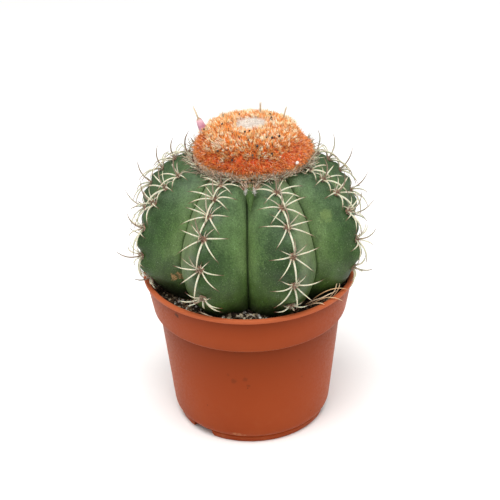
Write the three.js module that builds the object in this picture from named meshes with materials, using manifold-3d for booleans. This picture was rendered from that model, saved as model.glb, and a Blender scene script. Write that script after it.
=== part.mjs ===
// A round ribbed cactus with a bristly orange cap, growing in a round plastic nursery pot.
// Millimetres, +Z up. The origin is on the pot's axis, in the plane that the pot stands on.
// The front faces -Y, and azimuths are degrees from the front towards +X.

import * as THREE from "three";
import { mergeVertices } from "three/addons/utils/BufferGeometryUtils.js";
import Module from "manifold-3d";

const wasm = await Module();
wasm.setup();

// Driving dimensions of the pot
const POT_HEIGHT = 79.5;
const RIM_RADIUS = 52.5;
const RIM_LIP = 2.2;
const COLLAR_TOP_RADIUS = 51.3;
const COLLAR_FOOT_RADIUS = 48.2;
const COLLAR_FOOT_Z = 60.1;
const WALL_TOP_RADIUS = 45.6;
const WALL_FOOT_RADIUS = 39.8;
const FOOT_RADIUS = 37.5;
const FOOT_RING = 2.2;
const FOOT_HEIGHT = 3.6;
const WALL = 1.3;
const POT_SIDES = 44;
const FOOT_NOTCH = { count: 3, first: -42, span: 26, height: 3.4 };
const DRAIN = { count: 6, radius: 3, circle: 24 };

// Driving dimensions of the soil
const SOIL_TOP = 73.1;
const SOIL_RELIEF = 0.25;
const CRUMBS = { count: 18, smallest: 0.8, largest: 1.7, inner: 36, outer: 47.4 };

// Driving dimensions of the stem
const PLANT = { x: 0.9, y: 1.0 };
const STEM_RADIUS = 55.2;
const STEM_MIDDLE_Z = 99.2;
const STEM_RISE = 42.7;
const SHOULDER_POWER = 0.81;
const BASE_POWER = 1.15;
const RIB_AZIMUTHS = [20.4, 65.4, 111, 159, 204, 251, 290.4, 335.4];
const RIB_DEPTH = 0.215;
const RIB_DEPTH_GAIN = 0.0022;
const HUMP = { height: 2.5, fullGap: 14 };
const STEM_LOW = -36.5;
const STEM_HIGH = 63.5;
const STEM_RINGS = 17;
const NECK = { radius: 24, foot: 11, footZ: 50, kneeRadius: 22, kneeZ: 66 };
const UNDERSIDE = { scale: 0.82, z: SOIL_TOP + 0.75 };
const SHOULDER = { radius: 24, z: 138.2, ribbing: 0.5 };
const STUB = { radius: 17.5, fillet: 1.5, foot: 138.5, top: 140.6 };
const YOUNG_RIB = { radius: 29.3, z: 132.4, width: 4.6, thickness: 8.4, height: 10.8, tilt: -42 };

// Heights of the areoles on a rib's crest, as angles above the stem's middle, on alternate ribs
const AREOLES_ODD = [-20, -2.7, 16.2, 33.7, 45.5, 55.5];
const AREOLES_EVEN = [-12.7, 7.9, 27, 40.6, 51.6, 60.8];

// The spines of one areole: degrees round it from straight down, lift off the skin in degrees,
// length, thickness, and bends along the length. The last one points outwards.
const SPINES = [
  { turn: 0, lift: 24, length: 15.5, thickness: 1.35, bends: 2 },
  { turn: 50, lift: 30, length: 14, thickness: 1.2, bends: 2 },
  { turn: -50, lift: 30, length: 14, thickness: 1.2, bends: 2 },
  { turn: 94, lift: 30, length: 13.5, thickness: 1.15, bends: 2 },
  { turn: -94, lift: 30, length: 13.5, thickness: 1.15, bends: 2 },
  { turn: 138, lift: 34, length: 10, thickness: 1.1, bends: 1 },
  { turn: 190, lift: 62, length: 13.5, thickness: 1, bends: 1 },
];
const SPINE_ROOT = 1.6;

// The outward spine stands straighter on the ribs at the plant's two sides
const BESIDE = { lift: 80, from: 45, to: 135 };

// Areoles above this angle stand so close that they have no spines to their sides
const CROWDED = 50;

// How far, in degrees, a spine's middle is lifted above its lift and its tip drops below it, and
// where its middle lies along it
const ARCH = 19;
const ARCH_MIDDLE = 0.57;

// An areole faces the front where the y of its outward direction is below this
const FRONT = -0.6;

// What is tried in turn to keep a spine clear: degrees more or less of lift, and shares of the length
const LIFTS = [0, -8, -16, 6, 12, 18, 24, 30, 36, 42, 48, 54, 60];
const SHORTER = [1, 0.86, 0.74, 0.62];
const CLEAR = { rim: 3.4, overRim: 0.9, overRimInFront: 2.5, overSoil: 2.6, cap: 3.4, belowCap: 1 };

// Driving dimensions of the cap that crowns the stem
const CAP = { x: 3.6, y: 1.2 };
const CAP_PROFILE = [
  [24.6, 140.9], [27.3, 141.5], [27.8, 142.6], [26.9, 144.7], [25.4, 147.2],
  [23.8, 149.6], [21.4, 151.8], [17.6, 153.5], [12.8, 154.5], [7.2, 154.8],
];
const CAP_RADIUS = Math.max(...CAP_PROFILE.map(([radius]) => radius));
const CAP_LEAN = 0.115; // To the left, for each millimetre of height
const CAP_SIDES = 52;
const CAP_RINGS = 16;
const CAP_TUFT = 1.5;
const CAP_BRISTLES = { count: 50, stand: 2, root: 1.2, thickness: 1.3 };
const CROWN = { radius: 6.3, socket: 6.7, floor: 152.6, top: 155.6 };
const SKIRT = { x: 2.4, y: 1.1, inner: 20.2, outer: 28.4, bottom: 138.2, top: 140.6, tufts: 26, sides: 32 };
const FRUIT = { foot: [-19.6, 3.5, 149.6], tip: [-22.3, 4.5, 157], radius: 1.95 };
const DRY_FLOWERS = [
  { name: "dry_flower_back", foot: [6.9, 15.1, 153.2], tip: [7.3, 16.4, 161.4] },
  { name: "dry_flower_right", foot: [17.4, 8.9, 152.6], tip: [19.6, 10.2, 161.2] },
  { name: "dry_flower_left", foot: [-10.8, 10.4, 152.6], tip: [-11.2, 11, 158.8] },
];
const DRY_FLOWER_RADIUS = 0.5;
const SEAT = 0.3;

// Small helpers

const radians = (degrees) => (degrees * Math.PI) / 180;

// The same number between 0 and 1 for the same index, so that every build grows the same plant
function chance(index) {
  const value = Math.sin(index * 12.9898 + 4.1414) * 43758.5453;
  return value - Math.floor(value);
}

const spread = (index, amount) => (2 * chance(index) - 1) * amount;

function around(azimuth) {
  return new THREE.Vector3(Math.sin(azimuth), -Math.cos(azimuth), 0);
}

// One closed, position-only mesh with its seams merged and its collapsed faces dropped
function closed(geometry) {
  const bare = new THREE.BufferGeometry();
  bare.setAttribute("position", geometry.getAttribute("position").clone());
  if (geometry.index) bare.setIndex(geometry.index.clone());
  const merged = mergeVertices(bare, 1e-4);
  const faces = [];
  for (let i = 0; i < merged.index.count; i += 3) {
    const [a, b, c] = [0, 1, 2].map((k) => merged.index.getX(i + k));
    if (a !== b && b !== c && c !== a) faces.push(a, b, c);
  }
  merged.setIndex(faces);
  return merged;
}

function toManifold(geometry) {
  const mesh = closed(geometry);
  return new wasm.Manifold(new wasm.Mesh({
    numProp: 3,
    vertProperties: new Float32Array(mesh.getAttribute("position").array),
    triVerts: new Uint32Array(mesh.index.array),
  }));
}

function toGeometry(manifold) {
  const mesh = manifold.getMesh();
  const geometry = new THREE.BufferGeometry();
  geometry.setAttribute("position", new THREE.BufferAttribute(mesh.vertProperties, 3));
  geometry.setIndex(new THREE.BufferAttribute(mesh.triVerts, 1));
  return geometry;
}

const join = (solids) => solids.reduce((whole, solid) => whole.add(solid));

// A turned solid about +Z; profile points are [radius, height], anticlockwise in the half plane
function turned(profile, sides) {
  const points = profile.map(([radius, height]) => new THREE.Vector2(radius, height));
  return new THREE.LatheGeometry(points, sides).rotateX(Math.PI / 2);
}

// Moves each vertex of a turned solid: shape(side, ring, x, y, z) gives its new place
function reshape(geometry, rings, shape) {
  const position = geometry.getAttribute("position");
  for (let i = 0; i < position.count; i += 1) {
    const side = Math.floor(i / rings);
    const place = shape(side, i % rings, position.getX(i), position.getY(i), position.getZ(i));
    position.setXYZ(i, ...place);
  }
  return geometry;
}

// A tapering horn that follows a bent line from its root to a point
function horn(root, bend, tip, radius, sides = 3, steps = 2) {
  const line = new THREE.QuadraticBezierCurve3(root, bend, tip);
  const cone = new THREE.ConeGeometry(radius, 1, sides, steps);
  const across = new THREE.Vector3();
  const over = new THREE.Vector3();
  const position = cone.getAttribute("position");
  const reference = Math.abs(tip.z - root.z) > 0.9 * tip.distanceTo(root)
    ? new THREE.Vector3(1, 0, 0)
    : new THREE.Vector3(0, 0, 1);
  for (let i = 0; i < position.count; i += 1) {
    const along = position.getY(i) + 0.5;
    const tangent = line.getTangent(along);
    across.crossVectors(tangent, reference).normalize();
    over.crossVectors(across, tangent);
    const place = line.getPoint(along)
      .addScaledVector(across, position.getX(i))
      .addScaledVector(over, position.getZ(i));
    position.setXYZ(i, place.x, place.y, place.z);
  }
  return cone;
}

// The pot: a tapering wall, a wider collar, a rolled lip and a notched foot ring

function potRadius(z) {
  const share = (z - FOOT_HEIGHT) / (COLLAR_FOOT_Z - FOOT_HEIGHT);
  if (z < COLLAR_FOOT_Z) return WALL_FOOT_RADIUS + (WALL_TOP_RADIUS - WALL_FOOT_RADIUS) * share;
  const rise = (z - COLLAR_FOOT_Z) / (POT_HEIGHT - RIM_LIP - COLLAR_FOOT_Z);
  return COLLAR_FOOT_RADIUS + (COLLAR_TOP_RADIUS - COLLAR_FOOT_RADIUS) * rise;
}

function potProfile() {
  const lipZ = POT_HEIGHT - RIM_LIP;
  const floorTop = FOOT_HEIGHT + WALL;
  return [
    [0, FOOT_HEIGHT],
    [FOOT_RADIUS - FOOT_RING, FOOT_HEIGHT],
    [FOOT_RADIUS - FOOT_RING, 0],
    [FOOT_RADIUS, 0],
    [38.6, 0.8],
    [39.3, 2],
    [WALL_FOOT_RADIUS, FOOT_HEIGHT + 0.4],
    [potRadius(32), 32],
    [potRadius(COLLAR_FOOT_Z - 1.2), COLLAR_FOOT_Z - 1.2],
    [COLLAR_FOOT_RADIUS - 0.7, COLLAR_FOOT_Z - 0.6],
    [COLLAR_FOOT_RADIUS, COLLAR_FOOT_Z + 0.3],
    [COLLAR_TOP_RADIUS, lipZ],
    [RIM_RADIUS - 0.4, lipZ + 0.3],
    [RIM_RADIUS, lipZ + 0.8],
    [RIM_RADIUS, POT_HEIGHT - 0.8],
    [RIM_RADIUS - 0.35, POT_HEIGHT - 0.2],
    [RIM_RADIUS - 0.95, POT_HEIGHT],
    [RIM_RADIUS - 1.9, POT_HEIGHT - 0.2],
    [RIM_RADIUS - 2.3, POT_HEIGHT - 1],
    [potRadius(lipZ) - WALL, lipZ],
    [COLLAR_FOOT_RADIUS - WALL, COLLAR_FOOT_Z + 0.7],
    [WALL_TOP_RADIUS - WALL, COLLAR_FOOT_Z - 1.4],
    [potRadius(floorTop + 0.8) - WALL, floorTop + 0.8],
    [potRadius(floorTop) - WALL - 0.8, floorTop],
    [0, floorTop],
  ];
}

function footNotch(azimuth) {
  const half = radians(FOOT_NOTCH.span / 2);
  const reach = WALL_FOOT_RADIUS + 4;
  const inside = FOOT_RADIUS - FOOT_RING - 2;
  const outline = new THREE.Shape([
    new THREE.Vector2(-inside * Math.sin(half), -1),
    new THREE.Vector2(inside * Math.sin(half), -1),
    new THREE.Vector2(inside * Math.sin(half) - 1.6, FOOT_NOTCH.height),
    new THREE.Vector2(1.6 - inside * Math.sin(half), FOOT_NOTCH.height),
  ]);
  const block = new THREE.ExtrudeGeometry(outline, { depth: reach - inside, bevelEnabled: false });
  block.translate(0, 0, inside);
  block.rotateX(Math.PI / 2);
  return toManifold(block.rotateZ(radians(azimuth)));
}

function drainHole(x, y) {
  const hole = new THREE.CylinderGeometry(DRAIN.radius, DRAIN.radius, 4 * WALL, 12);
  return toManifold(hole.rotateX(Math.PI / 2).translate(x, y, FOOT_HEIGHT + WALL / 2));
}

function potGeometry() {
  let pot = toManifold(turned(potProfile(), POT_SIDES));
  for (let i = 0; i < FOOT_NOTCH.count; i += 1) {
    pot = pot.subtract(footNotch(FOOT_NOTCH.first + (360 / FOOT_NOTCH.count) * i));
  }
  for (let i = 0; i < DRAIN.count; i += 1) {
    const spot = around(radians((360 / DRAIN.count) * i)).multiplyScalar(DRAIN.circle);
    pot = pot.subtract(drainHole(spot.x, spot.y));
  }
  return toGeometry(pot.subtract(drainHole(0, 0)));
}

// The stem: ribs with a rounded crest, nearly flat flanks and a narrow groove between them

// The crest line of a rib, in the rib's own upright plane, at an angle above the stem's middle
function crest(angle) {
  const turn = radians(angle);
  const power = angle < 0 ? BASE_POWER : SHOULDER_POWER;
  return { radius: STEM_RADIUS * Math.cos(turn) ** power, z: STEM_MIDDLE_Z + STEM_RISE * Math.sin(turn) };
}

// How far the stem's skin lies below the crest, from 0 on the crest to 1 in the groove
function flankDrop(across) {
  const rounded = Math.sqrt(across * across + 0.006) - Math.sqrt(0.006);
  return 0.86 * rounded ** 1.12 + 0.14 * across ** 8;
}

const areolesOf = (rib) => (rib % 2 === 0 ? AREOLES_ODD : AREOLES_EVEN);

// The crest stands proud between two areoles and dips at each
function humpAt(rib, angle) {
  const marks = areolesOf(rib);
  const next = marks.findIndex((mark) => mark > angle);
  if (next < 1) return 0;
  const share = (angle - marks[next - 1]) / (marks[next] - marks[next - 1]);
  const room = Math.min(1, (marks[next] - marks[next - 1]) / HUMP.fullGap);
  return HUMP.height * room * Math.sin(Math.PI * share) ** 2;
}

function stemRadius(rib, across, angle, ribbing = 1) {
  const depth = angle < 0 ? RIB_DEPTH : RIB_DEPTH + RIB_DEPTH_GAIN * angle;
  const drop = depth * ribbing * flankDrop(Math.abs(across));
  const hump = humpAt(rib, angle) * Math.exp(-((across / 0.3) ** 2));
  return crest(angle).radius * (1 - drop) + hump * ribbing;
}

// The azimuth of a place across a rib: -1 and 1 are its two grooves, 0 is its crest
function ribAzimuth(rib, across) {
  const count = RIB_AZIMUTHS.length;
  const here = RIB_AZIMUTHS[rib];
  const next = rib + 1 < count ? RIB_AZIMUTHS[rib + 1] : RIB_AZIMUTHS[0] + 360;
  const last = rib > 0 ? RIB_AZIMUTHS[rib - 1] : RIB_AZIMUTHS[count - 1] - 360;
  const span = across < 0 ? here - last : next - here;
  return radians(here + (across * span) / 2);
}

const ACROSS_STEPS = [-1, -0.87, -0.52, -0.18, 0, 0.18, 0.52, 0.87];

function stemBody() {
  const rings = [
    { radius: 0, z: NECK.footZ },
    { radius: NECK.foot, z: NECK.footZ },
    { radius: NECK.kneeRadius, z: NECK.kneeZ },
    { radius: NECK.radius, z: UNDERSIDE.z },
    { radius: 1, z: UNDERSIDE.z, angle: STEM_LOW, scale: UNDERSIDE.scale, ribbing: 0.6 },
  ];
  for (let i = 0; i <= STEM_RINGS; i += 1) {
    const angle = STEM_LOW + ((STEM_HIGH - STEM_LOW) * i) / STEM_RINGS;
    rings.push({ ...crest(angle), angle, scale: 1, ribbing: 1 });
  }
  rings.push({ ...SHOULDER, angle: STEM_HIGH, scale: SHOULDER.radius / crest(STEM_HIGH).radius });
  rings.push({ radius: STUB.radius + STUB.fillet, z: STUB.foot });
  rings.push({ radius: STUB.radius, z: STUB.foot + STUB.fillet / 2 });
  rings.push({ radius: STUB.radius, z: STUB.top });
  rings.push({ radius: 0, z: STUB.top });
  const steps = ACROSS_STEPS.length;
  const sides = steps * RIB_AZIMUTHS.length;
  const body = turned(rings.map(({ radius, z }) => [radius, z]), sides);
  reshape(body, rings.length, (side, index) => {
    const ring = rings[index];
    const rib = Math.floor((side % sides) / steps);
    const across = ACROSS_STEPS[side % steps];
    const radius = ring.scale
      ? stemRadius(rib, across, ring.angle, ring.ribbing) * ring.scale
      : ring.radius;
    const place = around(ribAzimuth(rib, across)).multiplyScalar(radius);
    return [place.x, place.y, ring.scale ? Math.max(ring.z, UNDERSIDE.z) : ring.z];
  });
  return toManifold(body);
}

// An areole's place on a crest, with directions out of the skin, up along the rib and across it
function areoleFrame(rib, angle) {
  const azimuth = radians(RIB_AZIMUTHS[rib]);
  const outwards = around(azimuth);
  const here = crest(angle);
  const ahead = crest(angle + 0.5);
  const up = outwards.clone().multiplyScalar(ahead.radius - here.radius);
  up.z = ahead.z - here.z;
  up.normalize();
  const side = new THREE.Vector3(Math.cos(azimuth), Math.sin(azimuth), 0);
  const out = new THREE.Vector3().crossVectors(side, up).normalize();
  const spot = outwards.clone().multiplyScalar(here.radius);
  spot.z = here.z;
  return { spot, out, up, side };
}

// Whether a spine's line stays off the soil, the pot's rim and the cap, with room for its thickness.
// At the front it may not hang over the rim either.
function isClear(line, inFront) {
  return line.getPoints(10).every((point) => {
    const fromPot = Math.hypot(point.x + PLANT.x, point.y + PLANT.y);
    const fromCap = Math.hypot(point.x + PLANT.x - CAP.x, point.y + PLANT.y - CAP.y);
    const inRim = fromPot > RIM_RADIUS - CLEAR.rim;
    const meetsRim = inFront
      ? inRim && point.z < POT_HEIGHT + CLEAR.overRimInFront
      : inRim && fromPot < RIM_RADIUS + 1 && point.z < POT_HEIGHT + CLEAR.overRim;
    const meetsSoil = !inRim && point.z < SOIL_TOP + CLEAR.overSoil;
    const meetsCap = fromCap < CAP_RADIUS + CLEAR.cap && point.z > SKIRT.bottom - CLEAR.belowCap;
    return !meetsRim && !meetsSoil && !meetsCap;
  });
}

// A recurved spine: it leaves the areole, rises off the skin and bends back to it at the tip.
// One that would meet the soil, the rim or the cap is turned or made shorter until it clears them.
function spineLine(frame, turn, lift, length) {
  const along = frame.up.clone().multiplyScalar(-Math.cos(radians(turn)))
    .addScaledVector(frame.side, Math.sin(radians(turn)));
  const reach = (distance, angle) => frame.spot.clone()
    .addScaledVector(along, distance * Math.cos(radians(angle)))
    .addScaledVector(frame.out, distance * Math.sin(radians(angle)));
  const root = frame.spot.clone().addScaledVector(frame.out, -SPINE_ROOT);
  for (const more of LIFTS) {
    for (const share of SHORTER) {
      const bend = reach(ARCH_MIDDLE * share * length, lift + more + ARCH);
      const tip = reach(share * length, lift + more - ARCH);
      const line = new THREE.QuadraticBezierCurve3(root, bend, tip);
      if (isClear(line, frame.out.y < FRONT)) return line;
    }
  }
  return null;
}

function spinesOf(rib, angle, seed) {
  const frame = areoleFrame(rib, angle);
  const room = Math.min(1, 0.72 + Math.max(0, 62 - angle) / 100, 1 + Math.min(0, angle + 8) / 45);
  const grown = angle > CROWDED ? SPINES.filter(({ turn }) => Math.abs(turn) < 60 || turn > 100) : SPINES;
  const fromFront = Math.min(RIB_AZIMUTHS[rib], 360 - RIB_AZIMUTHS[rib]);
  const isBeside = fromFront > BESIDE.from && fromFront < BESIDE.to;
  const spines = grown.map(({ turn, lift, length, thickness, bends }, i) => {
    const line = spineLine(
      frame,
      turn + spread(seed + i, 8),
      (turn > 180 && isBeside ? BESIDE.lift : lift) + spread(seed + i + 20, 6),
      length * room * (1 + spread(seed + i + 40, 0.1)),
    );
    return line && toManifold(horn(line.v0, line.v1, line.v2, thickness / 2, 3, bends));
  });
  return spines.filter((spine) => spine !== null);
}

// A small young rib stands in the top of the groove at the front
function youngRib() {
  const groove = radians((RIB_AZIMUTHS[0] + RIB_AZIMUTHS[7] - 360) / 2);
  const keel = new THREE.SphereGeometry(1, 6, 4);
  keel.scale(YOUNG_RIB.width / 2, YOUNG_RIB.thickness / 2, YOUNG_RIB.height / 2);
  keel.rotateX(radians(YOUNG_RIB.tilt)).rotateZ(groove);
  const spot = around(groove).multiplyScalar(YOUNG_RIB.radius);
  return toManifold(keel.translate(spot.x, spot.y, YOUNG_RIB.z));
}

function stemGeometry() {
  const parts = [stemBody(), youngRib()];
  RIB_AZIMUTHS.forEach((azimuth, rib) => {
    areolesOf(rib).forEach((angle, index) => {
      parts.push(...spinesOf(rib, angle, 1000 + 700 * rib + 90 * index));
    });
  });
  return toGeometry(join(parts)).translate(PLANT.x, PLANT.y, 0);
}

// The soil: a plug that fills the pot, with a plain hole for the stem's neck and crumbs on top

function soilGeometry() {
  const fit = WALL + SEAT;
  const floorTop = FOOT_HEIGHT + WALL + SEAT;
  const profile = [
    [0, floorTop],
    [potRadius(floorTop + 1) - fit - 1, floorTop],
    [potRadius(floorTop + 1.4) - fit, floorTop + 1.4],
    [WALL_TOP_RADIUS - fit, COLLAR_FOOT_Z - 1.5],
    [COLLAR_FOOT_RADIUS - fit, COLLAR_FOOT_Z + 0.9],
    [potRadius(SOIL_TOP) - fit, SOIL_TOP - 0.4],
    [47.6, SOIL_TOP], [44, SOIL_TOP], [40, SOIL_TOP], [36, SOIL_TOP], [32, SOIL_TOP],
    [NECK.radius + 2.2, SOIL_TOP],
    [NECK.kneeRadius + 2.2, NECK.kneeZ],
    [NECK.foot + 2, NECK.footZ - 0.4],
    [0, NECK.footZ - 0.4],
  ];
  const [firstTop, lastTop] = [6, 11];
  const plug = turned(profile, POT_SIDES);
  reshape(plug, profile.length, (side, ring, x, y, z) => {
    const isTop = ring >= firstTop && ring <= lastTop;
    const relief = isTop ? spread((side % POT_SIDES) * 31 + ring, SOIL_RELIEF) : 0;
    return [x, y, z + relief];
  });
  const crumbs = [];
  for (let i = 0; crumbs.length < CRUMBS.count; i += 1) {
    const rib = Math.floor(chance(i * 5 + 1) * RIB_AZIMUTHS.length);
    const across = (chance(i * 5 + 2) < 0.5 ? -1 : 1) * (0.72 + 0.28 * chance(i * 5 + 3));
    const radius = CRUMBS.inner + (CRUMBS.outer - CRUMBS.inner) * chance(i * 5 + 4);
    const size = CRUMBS.smallest + (CRUMBS.largest - CRUMBS.smallest) * chance(i * 5 + 5);
    const isUnderStem = radius < stemRadius(rib, across, STEM_LOW + 6.5) + size + 2;
    if (isUnderStem) continue;
    const spot = around(ribAzimuth(rib, across)).multiplyScalar(radius);
    const crumb = new THREE.OctahedronGeometry(size, 0).rotateX(i).scale(1, 0.8, 0.7).rotateZ(i);
    crumbs.push(toManifold(crumb.translate(spot.x + 0.5 * PLANT.x, spot.y, SOIL_TOP + 0.15)));
  }
  return toGeometry(join([toManifold(plug), ...crumbs]));
}

// The cap: a dome of short orange bristles, with a white woolly crown and a tan skirt under it

function along(foot, tip, share) {
  return new THREE.Vector3(...foot).lerp(new THREE.Vector3(...tip), share);
}

// A slim turned solid whose axis runs from foot to tip; profile points are [radius, share of length]
function stake(foot, tip, profile, sides) {
  const length = along(foot, tip, 0).distanceTo(along(foot, tip, 1));
  const solid = turned(profile.map(([radius, share]) => [radius, share * length]), sides);
  const direction = along(foot, tip, 1).sub(along(foot, tip, 0)).normalize();
  solid.applyQuaternion(new THREE.Quaternion().setFromUnitVectors(new THREE.Vector3(0, 0, 1), direction));
  return solid.translate(...foot);
}

function fruitSolid(grow) {
  const radius = FRUIT.radius + grow;
  const profile = [
    [0, -grow / 6], [0.55 * radius, 0], [0.9 * radius, 0.25], [radius, 0.55],
    [0.86 * radius, 0.84], [0.5 * radius, 1], [0, 1 + grow / 6],
  ];
  return stake(FRUIT.foot, FRUIT.tip, profile, 10);
}

function dryFlowerSolid({ foot, tip }, grow) {
  const radius = DRY_FLOWER_RADIUS + grow;
  const profile = [[0, -grow / 6], [radius, -grow / 6], [0.8 * radius, 0.6], [1.3 * radius, 0.86], [0, 1]];
  return stake(foot, tip, profile, 6);
}

// Puts the cap in its place, leaning a little to the left
const capPlace = new THREE.Matrix4().set(
  1, 0, -CAP_LEAN, CAP.x + CAP_LEAN * CAP_PROFILE[0][1],
  0, 1, 0, CAP.y,
  0, 0, 1, 0,
  0, 0, 0, 1,
);

const capLine = new THREE.SplineCurve(CAP_PROFILE.map(([radius, z]) => new THREE.Vector2(radius, z)));

// The direction out of the cap's surface at a share of the way from its lower edge to its crown
function capNormal(share, outwards) {
  const slope = capLine.getTangentAt(share);
  const normal = outwards.clone().multiplyScalar(slope.y);
  normal.z = -slope.x;
  return normal.normalize();
}

// The dome's surface is all small tufts: on every second ring of its net, every second point
// stands out, and the rings are set half a step apart
function capDome() {
  const line = capLine.getSpacedPoints(CAP_RINGS).map(({ x, y }) => [x, y]);
  const top = CAP_PROFILE[CAP_PROFILE.length - 1];
  const profile = [
    [0, CAP_PROFILE[0][1]],
    ...line,
    [CROWN.socket, top[1] - 0.4],
    [CROWN.socket, CROWN.floor],
    [0, CROWN.floor],
  ];
  const dome = turned(profile, CAP_SIDES);
  return reshape(dome, profile.length, (side, ring, x, y, z) => {
    const isTuft = ring > 1 && ring < CAP_RINGS && ring % 2 === 0 && (side + ring / 2) % 2 === 0;
    if (!isTuft) return [x, y, z];
    const outwards = new THREE.Vector3(x, y, 0).normalize();
    const height = CAP_TUFT * (1 + spread((side % CAP_SIDES) * 17 + ring, 0.3));
    const tuft = capNormal((ring - 1) / CAP_RINGS, outwards).multiplyScalar(height)
      .add(new THREE.Vector3(x, y, z));
    return [tuft.x, tuft.y, Math.max(tuft.z, CAP_PROFILE[0][1])];
  });
}

// Longer bristles stand among the tufts, at even steps of the golden angle
function capBristles() {
  const bristles = [];
  const golden = Math.PI * (3 - Math.sqrt(5));
  const keepOff = [FRUIT, ...DRY_FLOWERS].map(({ foot }) => foot);
  for (let i = 0; i < CAP_BRISTLES.count; i += 1) {
    const share = 0.14 + 0.8 * (1 - Math.sqrt(1 - (i + 0.5) / CAP_BRISTLES.count));
    const point = capLine.getPointAt(share);
    const outwards = around(i * golden);
    const lean = new THREE.Vector3(spread(i, 0.3), spread(i + 500, 0.3), 0.2);
    const aim = capNormal(share, outwards).add(lean).normalize();
    const spot = outwards.clone().multiplyScalar(point.x);
    spot.z = point.y;
    const isNear = ([x, y]) => Math.hypot(spot.x + CAP.x - x, spot.y + CAP.y - y) < 3.4;
    if (keepOff.some(isNear)) continue;
    const root = spot.clone().addScaledVector(aim, -CAP_BRISTLES.root);
    const tip = spot.clone().addScaledVector(aim, CAP_BRISTLES.stand * (1 + spread(i + 900, 0.25)));
    bristles.push(toManifold(horn(root, root.clone().lerp(tip, 0.5), tip, CAP_BRISTLES.thickness / 2, 3, 1)));
  }
  return bristles;
}

function capGeometry() {
  const head = join([toManifold(capDome()), ...capBristles()]).transform(capPlace.elements);
  const sockets = [fruitSolid(SEAT), ...DRY_FLOWERS.map((flower) => dryFlowerSolid(flower, SEAT))];
  return toGeometry(sockets.reduce((whole, socket) => whole.subtract(toManifold(socket)), head));
}

function crownGeometry() {
  const profile = [
    [0, CROWN.floor + SEAT], [CROWN.radius, CROWN.floor + SEAT], [CROWN.radius, CROWN.top - 1.5],
    [0.86 * CROWN.radius, CROWN.top - 0.6], [0.5 * CROWN.radius, CROWN.top - 0.1], [0, CROWN.top],
  ];
  const wool = turned(profile, 20);
  reshape(wool, profile.length, (side, ring, x, y, z) => {
    const relief = ring === 3 || ring === 4 ? spread((side % 20) * 7 + ring, 0.25) : 0;
    return [x, y, z + relief];
  });
  return wool.applyMatrix4(capPlace);
}

function skirtGeometry() {
  const { inner, outer, bottom, top } = SKIRT;
  const profile = [
    [inner, bottom + 0.8], [outer - 3, bottom + 0.5], [outer - 0.6, bottom], [outer, bottom + 0.9],
    [outer - 0.2, top - 0.6], [outer - 1.4, top], [inner, top], [inner, bottom + 0.8],
  ];
  const ring = turned(profile, SKIRT.sides);
  reshape(ring, profile.length, (side, index, x, y, z) => {
    const swell = index >= 2 && index <= 4 ? 1 + spread((side % SKIRT.sides) * 13 + index, 0.018) : 1;
    return [x * swell, y * swell, z];
  });
  const tufts = [];
  for (let i = 0; i < SKIRT.tufts; i += 1) {
    const azimuth = ((i + 0.5 + spread(i + 60, 0.3)) * 2 * Math.PI) / SKIRT.tufts;
    const direction = around(azimuth + spread(i + 90, 0.4));
    const root = around(azimuth).multiplyScalar(outer - 1.6);
    root.z = bottom + 1.3;
    const tip = root.clone().addScaledVector(direction, 5.2 + spread(i, 1.4));
    tip.z += 1.4 + spread(i + 30, 1.1);
    tufts.push(toManifold(horn(root, root.clone().lerp(tip, 0.5), tip, 0.6, 3, 1)));
  }
  return toGeometry(join([toManifold(ring), ...tufts])).translate(SKIRT.x, SKIRT.y, 0);
}

// The finished plant in its pot

const FINISHES = {
  plastic: { color: 0xb0522f, roughness: 0.45 },
  soil: { color: 0x2c2119, roughness: 0.95 },
  skin: { color: 0x3f6b45, roughness: 0.6 },
  bristle: { color: 0xd8622c, roughness: 0.9 },
  wool: { color: 0xe9dfd2, roughness: 1 },
  tan: { color: 0xa08a70, roughness: 0.95 },
  fruit: { color: 0xd58fa8, roughness: 0.5 },
};

const cactus = new THREE.Group();

function addPiece(name, geometry, finish) {
  const material = new THREE.MeshStandardMaterial({ ...FINISHES[finish], metalness: 0 });
  const mesh = new THREE.Mesh(closed(geometry), material);
  mesh.name = name;
  cactus.add(mesh);
}

addPiece("pot", potGeometry(), "plastic");
addPiece("soil", soilGeometry(), "soil");
addPiece("stem", stemGeometry(), "skin");
addPiece("cap", capGeometry(), "bristle");
addPiece("cap_crown", crownGeometry(), "wool");
addPiece("cap_skirt", skirtGeometry(), "tan");
addPiece("fruit", fruitSolid(0), "fruit");
DRY_FLOWERS.forEach((flower) => addPiece(flower.name, dryFlowerSolid(flower, 0), "tan"));

export default cactus;
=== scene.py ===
"""A round ribbed cactus with a bristly orange cap, in a terracotta-coloured nursery pot.

Sizes are in millimetres, and every mesh is scaled to metres as it is made. The origin is on the
pot's axis, on the floor. The front faces -Y, and azimuths are degrees from the front towards +X.
"""

from __future__ import annotations

import logging
import math
from collections.abc import Sequence
from dataclasses import dataclass
from enum import Enum, IntEnum
from functools import cached_property
from math import pi, radians

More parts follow.
